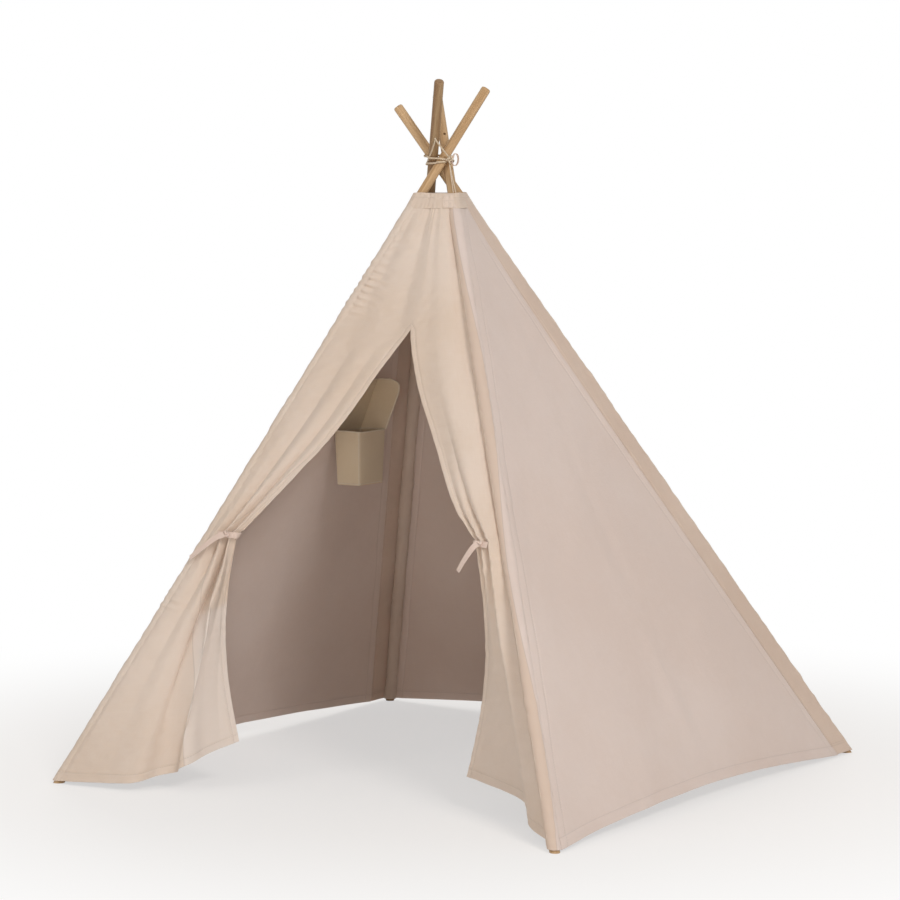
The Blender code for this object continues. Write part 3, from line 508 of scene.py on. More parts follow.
def curve_through(points, count):
    """A smooth curve through the points, evenly spaced."""
    p = np.asarray(points, float)
    p = np.concatenate([[2 * p[0] - p[1]], p, [2 * p[-1] - p[-2]]])
    t = np.linspace(0, 1, 24, endpoint=False)[:, None]
    fine = [0.5 * (2 * b + (c - a) * t + (2 * a - 5 * b + 4 * c - d) * t * t
                   + (3 * b - a - 3 * c + d) * t ** 3)
            for a, b, c, d in zip(p, p[1:], p[2:], p[3:])]
    return evenly(np.concatenate([*fine, p[-2:-1]]), count)


def tube_points(path, radius, sides, flat=1.0):
    """Rings round a path: points, and cloth coordinates round and along it."""
    path = np.asarray(path, float)
    along = unit(np.gradient(path, axis=0))
    normal = np.zeros_like(path)
    normal[0] = unit(UP - along[0] * (UP @ along[0]))
    for i in range(1, len(path)):
        normal[i] = unit(normal[i - 1] - along[i] * (normal[i - 1] @ along[i]))
    side = np.cross(along, normal)
    turn = np.linspace(0, math.tau, sides, endpoint=False)[:, None]
    rings = (path[:, None] + normal[:, None] * np.cos(turn) * radius
             + side[:, None] * np.sin(turn) * radius * flat)
    around = np.linspace(0, 1, sides + 1) * math.tau * radius
    return rings, (around, path_lengths(path)[:, None])


def loop_piece(name, path, radius, material, sides=8, flat=1.0):
    """A tube that is left open, or whose path closes."""
    rings, cloth_uv = tube_points(path, radius, sides, flat)
    return grid_piece(name, rings, cloth_uv, material, closed=True, thickness=0)


def tube_piece(name, path, radius, material):
    """A tube whose ends are drawn in and closed."""
    rings, (u, v) = tube_points(path, radius, 8)
    first, last = (ring.mean(0) + (ring - ring.mean(0)) * 0.02 for ring in rings[[0, -1]])
    rings = np.concatenate([first[None], rings, last[None]])
    v = v[[0, *range(len(v)), -1]]
    piece = grid_piece(name, rings, (u, v), material, closed=True, thickness=0)
    bm = bmesh.new()
    bm.from_mesh(piece.data)
    bmesh.ops.holes_fill(bm, edges=[e for e in bm.edges if e.is_boundary], sides=0)
    bmesh.ops.recalc_face_normals(bm, faces=bm.faces)
    bm.to_mesh(piece.data)
    bm.free()
    piece.data.shade_smooth()
    return piece


def join(name, parts):
    """Merges pieces that belong together into the first, keeping each one's materials."""
    bpy.ops.object.select_all(action="DESELECT")
    for part in parts:
        part.select_set(True)
    bpy.context.view_layer.objects.active = parts[0]
    bpy.ops.object.join()
    parts[0].name = name
    return parts[0]


# What each half of a wall would keep of its width when the poles fold

class Crumple:
    """How much of its width each half of a side would keep as it flattens towards its own pole, so
    that both halves still meet. Applying it only gives a piece its own mesh.
    """

    def __init__(self, wall, lap):
        """Finds what each half keeps of its width, and lets it keep some more to lap over."""
        z = np.linspace(0.05, COVER_TOP, 24)
        meet = wall.point(wall.frame(z)[3] / 2, z)
        self.axis, sides = {}, []
        for pole, other in ((wall.first, wall.second), (wall.second, wall.first)):
            across = other.foot - pole.foot
            axis = unit(across - pole.dir * (across @ pole.dir))
            base = pole.folded(meet - ((meet - pole.foot) @ axis)[:, None] * axis)
            sides.append((base, pole.folded(meet) - base))
            self.axis[pole] = axis
        (base1, reach1), (base2, reach2) = sides
        system = np.stack([reach1.ravel(), -reach2.ravel()], -1)
        keep = np.linalg.lstsq(system, (base2 - base1).ravel(), rcond=None)[0]
        self.keep = dict(zip((wall.first, wall.second), np.clip(keep + lap, 0.05, 1.0)))

    def apply(self, piece, pole, share=1.0):
        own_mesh(piece)


WALL_LAP = 0.014
CRUMPLES = {w: Crumple(w, 0.0 if w is FRONT else WALL_LAP) for w in (FRONT, RIGHT, BACK, LEFT)}


def dress(piece, nodes, pole=None, wall=None, share=1.0):
    """Hides the nodes a piece stands for, gives a piece on a wall its own mesh, and parents it to
    its pole's body, or to the cover's when it has no pole.
    """
    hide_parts(*nodes)
    if wall:
        CRUMPLES[wall].apply(piece, pole, share)
    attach(piece, pole.body if pole else "cover")


# Walls, each in two halves that meet on a line no one can see

def cloth_unevenness(x, z, seed):
    """Soft unevenness of hung canvas, in metres."""
    broad = waves(x, z, seed, 5, 0.35, 0.8) * 0.0034
    return broad + waves(x, z, seed + 1, 9, 0.09, 0.26) * 0.0012


def build_half_wall(label, wall, pole, seed):
    """Half of a side. Its rows are closer together at the hem, its columns at the sleeve."""
    rows = np.concatenate([np.linspace(0.0, 0.020, 9)[:-1], np.linspace(0.020, 0.10, 8)[:-1],
                           np.linspace(0.10, 1.0, 88)])[:, None]
    z = LOW + (COVER_TOP - LOW) * rows
    _, _, outward, width = wall.frame(z)
    near = wall.edge(pole, z)
    far = wall.edge(wall.second if pole is wall.first else wall.first, z)
    inset = (width / 2 - near) * np.linspace(0, 1, 76) ** 1.5
    dist = near + inset
    along = dist if pole is wall.first else width - dist
    across = (along - (near if pole is wall.first else far)) / (width - near - far)
    across = np.clip(across, 0, 1)
    arch = HEM_ARCH * np.sin(math.pi * across) * (1 - rows)
    height = z + arch - 0.001 * (1 - rows)
    v = height - LOW - arch
    sag = WALL_SAG * np.sin(math.pi * across) * np.sin(math.pi * rows)
    edge_fade = smooth(0.0, 0.030, inset)
    middle_fade = smooth(0.0, 0.045, width / 2 - dist)
    lively = edge_fade * smooth(0.0, 0.06, COVER_TOP - height)
    bumps = cloth_unevenness(along, height, seed) * lively
    pull = waves(dist * 3, height, seed + 2, 6, 0.018, 0.045) * np.exp(-inset / 0.020)
    pull += np.sin(height * 46.0 + dist * 60.0) * np.exp(-inset / 0.06)
    pull *= 0.0007 * middle_fade
    if pole is FR:  # where the right tie pulls at the seam
        tug = np.exp(-inset / 0.018 - ((height - 0.605) / 0.055) ** 2)
        pull += 0.0045 * tug * np.sin(height * 430.0 + inset * 95.0 + np.sin(height * 70.0) * 2.0)
    hem = 0.0008 * (1 - smooth(0.0155, 0.0175, v))
    depth = sag + bumps * (0.35 + 0.65 * middle_fade) + pull * edge_fade - hem
    if not wall.seams[pole.name]:
        depth += 0.0010 * np.exp(-inset / 0.0035)
    points = wall.point(along, height, depth)
    piece = grid_piece("wall_%s_by_%s" % (label, pole.name), points, (along - width / 2, v),
                       WALL_CLOTH, outward[0, 0], edge_uv=(inset, v))
    dress(piece, [label + "_wall"], pole, wall)


for wall, label, seed in ((RIGHT, "right", 11), (BACK, "back", 23), (LEFT, "left", 37)):
    for pole in (wall.first, wall.second):
        build_half_wall(label, wall, pole, seed)


# Pole sleeves: a tube round each pole, and the seam beside it that joins two walls

def sleeve_tucks(z):
    """Small tucks across the front left sleeve, where its seam has drawn up."""
    where = np.exp(-((z - 1.02) / 0.060) ** 2) + 0.7 * np.exp(-((z - 0.375) / 0.030) ** 2)
    return where * (0.5 + 0.5 * np.sin(z * math.tau / 0.0155 + 2.2 * np.sin(z * 31.0)))


def build_sleeve(pole, seed):
    rows, sides = (480 if pole is FL else 230), 34
    z = (LOW + (COVER_TOP - LOW) * np.linspace(0, 1, rows))[:, None]
    turn = np.linspace(-math.pi, math.pi, sides, endpoint=False)
    ripple = (waves(z, turn * 0.010, seed, 10, 0.016, 0.060, 0.5)
              + waves(z, turn * 0.004, seed + 1, 5, 0.08, 0.25, 0.5)) * 0.0008
    gather = 0.0006 * np.abs(np.sin(z * math.pi / 0.028 + waves(z, z * 0, seed + 2, 4, .1, .3) * 3))
    if pole is FL:
        gather = gather + 0.0022 * sleeve_tucks(z)
    radius = SLEEVE_R - CLOTH / 2 + 0.0006 + np.maximum(ripple, -0.0008) + gather
    points = (pole.at(z) + pole.outward * (np.cos(turn) * radius / pole.dir[2])[..., None]
              + pole.tangent * (np.sin(turn) * radius)[..., None])
    u, v = np.linspace(-math.pi, math.pi, sides + 1) * SLEEVE_R, z - LOW
    cloth = {FL: FRONT_CLOTH, FR: CORNER_CLOTH}.get(pole, SLEEVE_CLOTH)
    # where the strip of painted shade on the front right sleeve ends, wavering along the pole
    seam = u - 0.0085 * np.cos((v - 0.80) * math.tau / 0.65) if pole is FR else u + 1.0
    tube = grid_piece("sleeve_tube_" + pole.name, points, (u, v), cloth, closed=True,
                      thickness=0.0010, edge_uv=(seam, v))
    dress(tube, ["sleeve_" + pole.name], pole)


def build_seam(pole, wall, seed):
    z = (LOW + (COVER_TOP - LOW) * np.linspace(0, 1, 200))[:, None]
    _, _, outward, width = wall.frame(z)
    seam = wall.seam(pole, z) + 0.0016
    dist = seam * np.linspace(0.03, 1, 18)
    along = dist if pole is wall.first else width - dist
    crinkle = waves(dist * 0.6, z, seed + 5, 9, 0.015, 0.05) * 0.0007
    crinkle += waves(dist * 0.5, z, seed + 8, 5, 0.06, 0.16) * 0.0011
    crinkle += np.sin(z * 150 + waves(z, dist, seed + 6, 4, .1, .4) * 5) * 0.0003
    crinkle *= smooth(0.0, 0.010, dist) * smooth(0.0, 0.006, seam - dist)
    depth = crinkle - 0.0006 + 0.0009 * smooth(0.004, 0.0, seam - dist)
    strip = grid_piece("seam_" + pole.name, wall.point(along, z, depth),
                       (along - width / 2, z - LOW), SEAM_CLOTH, outward[0, 0],
                       thickness=0.0020, edge_uv=(dist - seam, z - LOW))
    dress(strip, ["sleeve_" + pole.name], pole, wall)


for pole, seed in ((FL, 51), (FR, 61), (BR, 71), (BL, 81)):
    build_sleeve(pole, seed)
build_seam(BR, RIGHT, 71)
build_seam(BL, LEFT, 81)


# The front: a yoke that runs down into the two tied-back door flaps, as one cloth a side

FRONT_SEAMED = Wall(FL, FR, 0.032, 0.032)
FOLD_KEYS = (-1.0, -0.45, 0.0, 0.35, 1.0)
MM = 0.001


class FrontCloth:
    """One side of the front, from the band to the hem.

    Its edge is given as heights and distances from the pole, its hem as shares of HALF along,
    inwards and up, and its folds as places, heights in MM and widths at FOLD_KEYS.
    """

    def __init__(self, pole, waist, waist_width, edge, hem, folds, seed, material):
        self.pole, self.waist_z, self.waist_width = pole, waist, waist_width
        self.sign = 1 if pole is FL else -1
        self.edge, self.folds, self.seed, self.material = edge, folds, seed, material
        self.hem = [self.from_pole(self.near(LOW), LOW)]
        self.hem += [pole.foot + np.array((self.sign * along, inward, up)) * HALF
                     for along, inward, up in hem]

    def near(self, z):
        return FRONT.edge(self.pole, z) + 0.0002

    def seamed(self, z):
        """Level distance from the pole to the edge of the sleeve's seam."""
        return FRONT_SEAMED.edge(self.pole, z) + 0.0003

    def from_pole(self, dist, z, depth=0.0):
        return FRONT.point(dist if self.sign > 0 else FRONT.frame(z)[3] - dist, z, depth)

    def middle(self, z):
        """The line where the two sides meet above the slit."""
        start, run, _, width = FRONT.frame(z)
        t = np.clip((z - SLIT_TOP) / (COVER_TOP - SLIT_TOP), 0, 1)
        line = -start[..., 0] / run[..., 0] * (1 - t) + width / 2 * t
        return line if self.sign > 0 else width - line

    def waist(self):
        return self.seamed(self.waist_z) + self.waist_width

    def free_edge(self, z):
        """Level distance from the pole to the tied-back free edge, between slit and waist."""
        heights, dists = zip((self.waist_z, self.waist()), *self.edge,
                             (SLIT_TOP, self.middle(SLIT_TOP)))
        return smooth_interp(z, heights, dists)

    def fold_height(self, s, t):
        """How far the folds stand out at a share across, from slit (-1) by tie (0) to hem (1)."""
        total = np.zeros_like(s)
        for fold in self.folds:
            place, height, width = (smooth_interp(t, FOLD_KEYS, values) for values in fold)
            height = height * MM
            x = (s - place) / width
            soft = np.where(height > 0, 1.0, smooth(0.09, 0.13, width))
            total += height * (soft * np.exp(-x * x)
                               + (1 - soft) * np.exp(-1.25 * np.sqrt(x * x + 0.02)))
        return total

    @staticmethod
    def drape(f, z):
        """Soft folds that hang from the gathered top, at a share from pole to pole."""
        down = np.clip((COVER_TOP - z) / (COVER_TOP - SLIT_TOP), 0, 3)
        fade = smooth(0.02, 0.30, down) * (1 - smooth(1.0, 2.0, down))
        total = np.zeros_like(f)
        for place, lean, size, width in ((0.14, 0.00, -2.0, 0.06), (0.28, -0.02, 2.4, 0.09),
                                         (0.46, 0.02, -2.8, 0.06), (0.60, 0.03, 3.4, 0.08),
                                         (0.76, 0.02, 4.0, 0.07), (0.925, 0.00, -13.0, 0.045)):
            x = (f - place - lean * (down - 0.5)) / width
            total += size * MM * np.exp(-x * x)
        near_top = np.exp(-np.clip(down, 0, 9) / 0.16) * smooth(0.0, 0.04, down)
        gathers = np.sin(f * math.tau * 13 + 2 * np.sin(f * 23)) * np.exp(-((f - .55) / .22) ** 2)
        return total * fade + gathers * near_top * 0.0016

    def base(self, s):
        """The cloth without its folds, and how each point lies from slit (-1) to hem (1)."""
        top, bottom = self.waist_z + 0.007, self.waist_z - 0.007
        z = np.concatenate([np.linspace(COVER_TOP, SLIT_TOP, 110)[:-1],
                            SLIT_TOP + (top - SLIT_TOP) * np.linspace(0, 1, 100) ** 0.94,
                            np.linspace(top, bottom, 6)[1:]])[:, None]
        far = np.where(z > top, self.free_edge(z), self.waist())
        far = np.where(z > SLIT_TOP, self.middle(z), far)
        dist = self.near(z) + (far - self.near(z)) * s
        upper = self.from_pole(dist, z)
        t_upper = np.clip((self.waist_z - z) / (SLIT_TOP - self.waist_z), -1, 0)
        share = dist / FRONT.frame(z)[3]
        t = np.linspace(0, 1, 132)[1:, None]
        fall = curve_through(self.hem, len(s)) - upper[-1]
        lower = upper[-1] + fall * (t + t * (t - 1) / 2 * s)[..., None]
        lower[..., 0] -= self.sign * 0.030 * np.sin(math.pi * t) * s ** 2
        lower[..., 2] = upper[-1][:, 2] + fall[:, 2] * t
        share = np.concatenate([share, np.repeat(share[-1:], len(t), 0)])
        return (np.concatenate([upper, lower]), np.concatenate([t_upper, t]) * np.ones(len(s)),
                share if self.sign > 0 else 1 - share)

    def build(self, name):
        cols = 151
        base, t, f = self.base(np.linspace(0, 1, cols))
        s = np.broadcast_to(np.linspace(0, 1, cols), t.shape)
        z = base[..., 2]

        # folds stand off the base along its level normal
        along_s = np.gradient(base, axis=1)
        level = np.stack([along_s[..., 1], -along_s[..., 0], np.zeros(t.shape)], -1)
        level = unit(level) * self.sign
        for _ in range(10):
            level[1:-1] = (level[:-2] + level[1:-1] * 2 + level[2:]) / 4
        level = unit(level)
        below_slit = smooth(SLIT_TOP + 0.10, SLIT_TOP - 0.12, z)
        drift = waves(s * 0.5, t * 0.5, self.seed, 4, 0.35, 0.9) * 0.030 * smooth(0, 0.15, s)
        height = self.fold_height(s + drift, t) * below_slit
        height += self.drape(f, z) * (t <= 0)
        from_seam = np.linalg.norm(base - base[:, :1], axis=-1)
        x = base[..., 0]
        rough = waves(x, z * 1.4, self.seed + 7, 10, 0.02, 0.07) * 0.0007
        rough += cloth_unevenness(x, z, self.seed + 9) * 0.7
        tie = np.exp(-(t / 0.16) ** 2)
        rough += waves(x * 2.2, z * 0.7, self.seed + 13, 8, 0.02, 0.05) * 0.0013 * tie
        puckers = np.sin(z * 330 + 3 * np.sin(z * 41) + from_seam * 60)
        rough += 0.0010 * puckers * np.exp(-from_seam / 0.016)
        if self.pole is FL:
            rough += 0.0085 * sleeve_tucks(z + from_seam * 0.25) * np.exp(-from_seam / 0.028)
        height += rough * np.where(z > SLIT_TOP, smooth(1.0, 0.80, s), 1.0)
        height *= smooth(0, 0.03, s) * smooth(0.0, 0.03, COVER_TOP - z)
        height -= 0.0010 * np.exp(-from_seam / 0.0035)
        points = base + level * height[..., None]

        u = path_lengths(base.swapaxes(0, 1)).T
        v = path_lengths(base[:, cols // 2, None])
        v = v[-1] - v
        free = u[:, -1:] - u + np.maximum(z - SLIT_TOP, 0)
        piece = grid_piece(name, points[::-1], (u[::-1] * self.sign, v[::-1]), self.material,
                           (0.0, -1.0, 0.3), edge_uv=(free[::-1], v[::-1]))
        flap = "door_flap_left" if self.pole is FL else "door_flap_right"
        dress(piece, ["front_yoke", flap], self.pole, FRONT)


def smooth_interp(x, xs, ys):
    """A smooth curve through the values."""
    xs, ys = np.asarray(xs, float), np.asarray(ys, float)
    slope = np.diff(ys) / np.diff(xs)
    m = np.concatenate([[slope[0]], (slope[1:] + slope[:-1]) / 2, [slope[-1]]])
    x = np.asarray(x, float)
    i = np.clip(np.searchsorted(xs, x) - 1, 0, len(xs) - 2)
    h = xs[i + 1] - xs[i]
    t = (x - xs[i]) / h
    return ((2 * t**3 - 3 * t**2 + 1) * ys[i] + (t**3 - 2 * t**2 + t) * h * m[i]
            + (-2 * t**3 + 3 * t**2) * ys[i + 1] + (t**3 - t**2) * h * m[i + 1])


LEFT_EDGE = ((0.570, 0.0975), (0.631, 0.1222), (0.656, 0.1311), (0.681, 0.1424), (0.755, 0.1616),
             (0.852, 0.1680), (0.901, 0.1735), (0.920, 0.1780))
RIGHT_EDGE = ((0.563, 0.0803), (0.585, 0.0940), (0.606, 0.1030), (0.651, 0.1135), (0.695, 0.1203),
              (0.741, 0.1290), (0.786, 0.1385), (0.832, 0.1440), (0.879, 0.1450), (0.915, 0.1425))
LEFT_FOLDS = (
    ((.16, .17, .14, .11, .10), (1, 2, 4, 4, 2), (.10, .10, .08, .10, .12)),
    ((.40, .40, .32, .24, .26), (-1, -9, -12, -6, -2), (.12, .09, .07, .07, .14)),
    ((.56, .56, .48, .36, .40), (1, 6, 9, 7, 5), (.14, .12, .08, .09, .14)),
    ((.74, .73, .64, .50, .54), (-1, -10, -12, -24, -18), (.12, .07, .06, .10, .12)),
    ((.88, .88, .80, .64, .70), (1, 5, 8, 27, 27), (.10, .08, .07, .07, .07)),
    ((.96, .96, .94, .92, .90), (0, 0, -3, -4, -4), (.06, .06, .05, .06, .08)))
RIGHT_FOLDS = (
    ((.07, .07, .10, .18, .09), (-9, -16, -20, -30, -16), (.10, .09, .09, .10, .08)),
    ((.45, .46, .40, .40, .28), (4, 15, 9, 14, 18), (.24, .24, .11, .10, .13)),
    ((.62, .64, .57, .55, .50), (0, -2, -9, -9, -7), (.10, .07, .05, .08, .12)),
    ((.74, .74, .72, .76, .80), (0, 1, 7, 3, 3), (.12, .10, .07, .10, .12)),
    ((.88, .87, .87, .90, .93), (0, -1, -6, -2, -2), (.08, .06, .05, .06, .06)))
LEFT_HEM = ((0.240, 0.010, 0.023), (0.333, 0.033, 0.033), (0.400, 0.133, 0.058),
            (0.458, 0.167, 0.100), (0.550, 0.300, 0.153))
RIGHT_HEM = ((0.120, 0.110, 0.040), (0.217, 0.193, 0.080), (0.375, 0.303, 0.100),
             (0.575, 0.383, 0.113))
left_cloth = FrontCloth(FL, 0.512, 0.040, LEFT_EDGE, LEFT_HEM, LEFT_FOLDS, 101, FACED_CLOTH)
right_cloth = FrontCloth(FR, 0.532, 0.030, RIGHT_EDGE, RIGHT_HEM, RIGHT_FOLDS, 131, FRONT_CLOTH)
left_cloth.build("front_cloth_left")
right_cloth.build("front_cloth_right")


# The top band

BAND_HEIGHT = 0.031
BAND_COLUMNS = 288


def bundle_point(z, turn, clearance, poles=POLES):
    """Where a band pulled tight round the poles would lie at a height, in one direction."""
    normal = level_way(turn)
    radius = POLE_R + clearance

    def support(direction):
        return max(p.at(z) @ direction + p.reach(direction, radius) for p in poles)

    step = math.radians(0.5)
    slope = (support(level_way(turn + step)) - support(level_way(turn - step))) / (2 * step)
    level = normal * support(normal) + np.cross(UP, normal) * slope
    return np.array((level[0], level[1], z))


def band_outline(z, clearance):
    """The outline round the sleeves at a height, in even steps from the back right corner."""
    turns = math.tau * (np.arange(480) / 480 + 1 / 8)
    raw = np.array([bundle_point(z, turn, SLEEVE_R - POLE_R + clearance) for turn in turns])
    return evenly(np.concatenate([raw, raw[:1]]), BAND_COLUMNS, closed=True)


def build_band():
    shares = np.array([0, .05, .12, .2, .3, .4, .5, .6, .7, .8, .88, .95, 1.0])
    loops = np.array([band_outline(COVER_TOP - BAND_HEIGHT * (1 - s), 0.0004 + 0.0016 * s)
                      for s in shares])
    count, quarter = BAND_COLUMNS, BAND_COLUMNS // 4
    middle = loops.mean((0, 1))
    out = unit((loops - middle) * np.array((1, 1, 0)))
    at, up = np.arange(count) / count, shares[:, None]
    pucker = np.sin(at * math.tau * 41 + np.sin(at * 31) * 2.4) * 0.0007 * (0.25 + np.abs(up - .5))
    slack = np.sin(at * math.tau * 5 + 1.0) * 0.0006
    sag = np.sin(at * math.tau * 4 + 0.6) * 0.0014
    front = level_way(math.radians(-88))
    side = np.cross(UP, front)
    across = (loops - middle) @ side
    facing = (out @ front) > 0
    pleat = np.exp(-((across - 0.005) / 0.0016) ** 2) * facing * smooth(0.2, 0.6, up)
    loops = loops + out * (pucker + slack - 0.0032 * pleat)[..., None]
    loops[..., 2] += sag * up - 0.0030 * pleat
    for step, pole in enumerate((BR, BL, FL, FR)):
        at = quarter * step - quarter // 2 + np.arange(quarter + 1)
        band = grid_piece("top_hem_" + pole.name, loops[:, at % count],
                          (at * 0.0018, up * BAND_HEIGHT), BAND_CLOTH, out[:, at % count],
                          thickness=0.0010)
        dress(band, ["top_band"], pole)

    # the square patch on the band over the front right sleeve
    target = unit((FR.at(COVER_TOP) - middle) * np.array((1, 1, 0)))
    centre = int(np.argmax(loops[6] @ target)) - 12
    near = np.arange(centre - 8, centre + 9) % count
    patch = loops[1:-1][:, near] + out[1:-1][:, near] * 0.0016
    cloth_uv = (np.linspace(-0.0180, 0.0180, len(near)), (up[1:-1] - 0.5) * BAND_HEIGHT)
    square = grid_piece("band_patch", patch, cloth_uv, PATCH_CLOTH, target, thickness=0.0012)
    dress(square, ["top_band"], FR)


build_band()


# Tiebacks

def ribbon_strip(name, path, up, width, thick, bow):
    """A flat ribbon along a path, its width along up, a little rounded at the edges."""
    along = unit(np.gradient(path, axis=0))
    up = np.broadcast_to(np.asarray(up, float), path.shape)
    up = unit(up - along * (up * along).sum(-1, keepdims=True))
    across = np.linspace(-0.5, 0.5, 9)[:, None]
    points = (path[:, None] + up[:, None] * across * width
              + np.cross(along, up)[:, None] * (0.25 - across ** 2) * bow)
    return grid_piece(name, points, (across[:, 0] * width, path_lengths(path)[:, None]),
                      RIBBON_CLOTH, thickness=thick)


def knot_piece(name, centre, long_axis, flat_axis, size, radius, material):
    """An overhand knot drawn up tight."""
    t = np.linspace(0, math.tau, 120, endpoint=False)
    x, y, z = np.sin(t) + 2 * np.sin(2 * t), np.cos(t) - 2 * np.cos(2 * t), -np.sin(3 * t)
    length, width, thick = np.array(size) / 2 - radius
    long_axis = unit(long_axis)
    flat_axis = unit(flat_axis - long_axis * (flat_axis @ long_axis))
    path = (centre + np.outer(x / 3 * length, long_axis)
            + np.outer(y / 3 * width, np.cross(long_axis, flat_axis))
            + np.outer(z * thick, flat_axis))
    return loop_piece(name, np.concatenate([path, path[:1]]), radius, material, 10, 0.8)


# The right flap would end up behind its pole when folded, where its tie would vanish: that tie is
# given a larger share, which Crumple.apply does not read
TIE_SHARES = {"left": 1.0, "right": 4.4}
TIE_DEPTH = 0.0112
TAIL_WIDTH = 0.0115


def build_tieback(cloth, side, route):
    """The ribbon round a gathered flap, its knot and its hanging end."""
    pole, z = cloth.pole, cloth.waist_z
    near, far = cloth.seamed(z), cloth.waist() + 0.003 - TIE_DEPTH
    base = cloth.from_pole(near, z)
    lead = np.linspace(near - 0.004, far, 12)[:-1]
    turn = np.linspace(0, math.pi, 41)
    along = np.concatenate([lead, far + TIE_DEPTH * np.sin(turn), lead[::-1]])
    depth = np.pad(-TIE_DEPTH * np.cos(turn), len(lead), "edge")
    path = cloth.from_pole(along, z, depth)
    path[:, 2] += np.sin(np.linspace(0, 9, len(path))) * 0.0009
    strip = ribbon_strip("tie_ribbon_" + side, path, cloth.from_pole(near, z + 0.006) - base,
                         0.0125, 0.0011, 0.0012)
    dress(strip, ["tieback_" + side], pole, FRONT, TIE_SHARES[side])

    out = unit(cloth.from_pole(near, z, -1.0) - base)
    low, high = (np.array(c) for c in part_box("tieback_knot_" + side))
    knot = knot_piece("tie_knot_" + side, (low + high) / 2 + out * 0.0030,
                      cloth.from_pole(near + 0.01, z) - base, out,
                      (0.0200, 0.0150, 0.0090), 0.0026, RIBBON_CLOTH)
    dress(knot, ["tieback_knot_" + side], pole, FRONT, TIE_SHARES[side])

    start = (low + high) / 2 + out * (0.0045 + 0.0022 + 0.0003)
    path = curve_through([start + np.array(p) for p in route], 30)
    across = np.cross(unit(np.gradient(path, axis=0)), out)
    across[:, 1] += np.linspace(0.0, 0.5, len(path))
    tail = ribbon_strip("tie_tail_" + side, path, across, TAIL_WIDTH, 0.0010, 0.0016)
    dress(tail, ["tieback_tail_" + side], pole, FRONT, TIE_SHARES[side])


LEFT_TAIL = ((0.000, 0.000, 0.000), (-0.016, -0.006, -0.007), (-0.036, -0.012, -0.022),
             (-0.056, -0.015, -0.037), (-0.075, -0.017, -0.052))
RIGHT_TAIL = ((0.000, 0.000, 0.000), (-0.007, -0.005, -0.008), (-0.017, -0.008, -0.022),
              (-0.028, -0.010, -0.039), (-0.038, -0.011, -0.056))
build_tieback(left_cloth, "left", LEFT_TAIL)
build_tieback(right_cloth, "right", RIGHT_TAIL)


# Lashing

KNOT_TURN = math.radians(-22)
ROPE_R = 0.0021
STEPS_A_TURN = 26
CAMERA_RIGHT = np.array((0.83, 0.55, 0.0))
TO_CAMERA = np.array((0.55, -0.83, 0.0))


def twisted(name, path, radius, material, turns_per_metre=70.0):
    """Three plies laid round a path."""
    fine = curve_through(path, max(60, len(path) * 6))
    along = unit(np.gradient(fine, axis=0))
    normal = unit(np.cross(along, UP + np.array((0.01, 0.02, 0))))
    side = np.cross(along, normal)
    plies = []
    for index in range(3):
        turn = path_lengths(fine)[:, None] * turns_per_metre * math.tau + index * math.tau / 3
        ply = fine + (normal * np.cos(turn) + side * np.sin(turn)) * radius * 0.50
        plies.append(tube_piece(name + str(index), ply, radius * 0.52, material))
    return join(name, plies)


def build_lashing():
    path = []
    for progress in np.arange(2 * STEPS_A_TURN + 1) / STEPS_A_TURN:
        swell = (1 - math.cos(math.tau * progress)) / 2
        swing = -0.008 if progress < 1 else 0.007
        height = CROSSING[2] + 0.0046 * (progress - 1) + swing * swell
        path.append(bundle_point(height, KNOT_TURN - math.tau * progress, 0.0026, BUNDLE))
    dress(twisted("rope_turns", path, ROPE_R, ROPE_YARN), ["lashing_rope"])

    centre = bundle_point(CROSSING[2], KNOT_TURN, 0.004 + 0.0009 + 0.0055, BUNDLE)
    out = level_way(KNOT_TURN)
    knot = knot_piece("rope_knot", centre, (0.25, 0.1, 1.0), out, (0.0190, 0.0150, 0.0110),
                      ROPE_R, ROPE_YARN)
    dress(knot, ["lashing_knot"])

    # two strands from the hole in the back left pole
    hole = BL.at(BL.pivot[2] + 0.048)
    across = unit(np.cross(BL.dir, BL.tangent))
    across = across * np.sign(across @ TO_CAMERA)
    mouth = hole + across * (POLE_R + 0.0012)
    left_turn = min(path[3:23], key=lambda p: p @ CAMERA_RIGHT)
    ends = centre - out * 0.001 + UP * 0.004, left_turn + TO_CAMERA * 0.002
    for index, end in enumerate(ends):
        bend = [hole, mouth, mouth * 0.62 + end * 0.38 + across * 0.003, end]
        cord = twisted("hole_strand_%d" % index, curve_through(bend, 16), 0.0018, ROPE_YARN)
        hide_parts("lashing_rope")
        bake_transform(cord)

    aside = level_way(KNOT_TURN + math.pi / 2)
    bow_centre = centre + aside * (0.007 + 0.0015 + 0.0055 + 0.0003)
    t = np.linspace(-math.pi * 0.97, math.pi * 0.97, 60)
    path = (bow_centre + np.outer(np.cos(t) * 0.0076, aside)
            + np.outer(np.sin(t) * 0.0125, UP) + np.outer(np.sin(t * 0.5) * 0.002, out))
    dress(ribbon_strip("bow_loop", path, out, 0.0058, 0.0009, 0.0006), ["lashing_bow"])

    top = centre - UP * (0.008 + 0.0012 + 0.0003)
    spread = 0.014 / np.linalg.norm(centre - CROSSING)
    ends = [bundle_point(COVER_TOP, KNOT_TURN - spread + side * spread / 2,
                         SLEEVE_R - POLE_R + 0.0024 + CLOTH / 2) + UP * (0.0012 + 0.0003)
            for side in (-1, 1)]
    bend = [ends[0], (ends[0] + top) / 2, top, (ends[1] + top) / 2, ends[1]]
    cords = twisted("cover_cords", bend, 0.0012, CORD_YARN, 150.0)
    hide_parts("hanging_cords")
    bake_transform(cords)


build_lashing()


# The inside pocket, a little behind the left wall's mid-line

POCKET_SHIFT = 0.018
POCKET_THICK = 0.0014


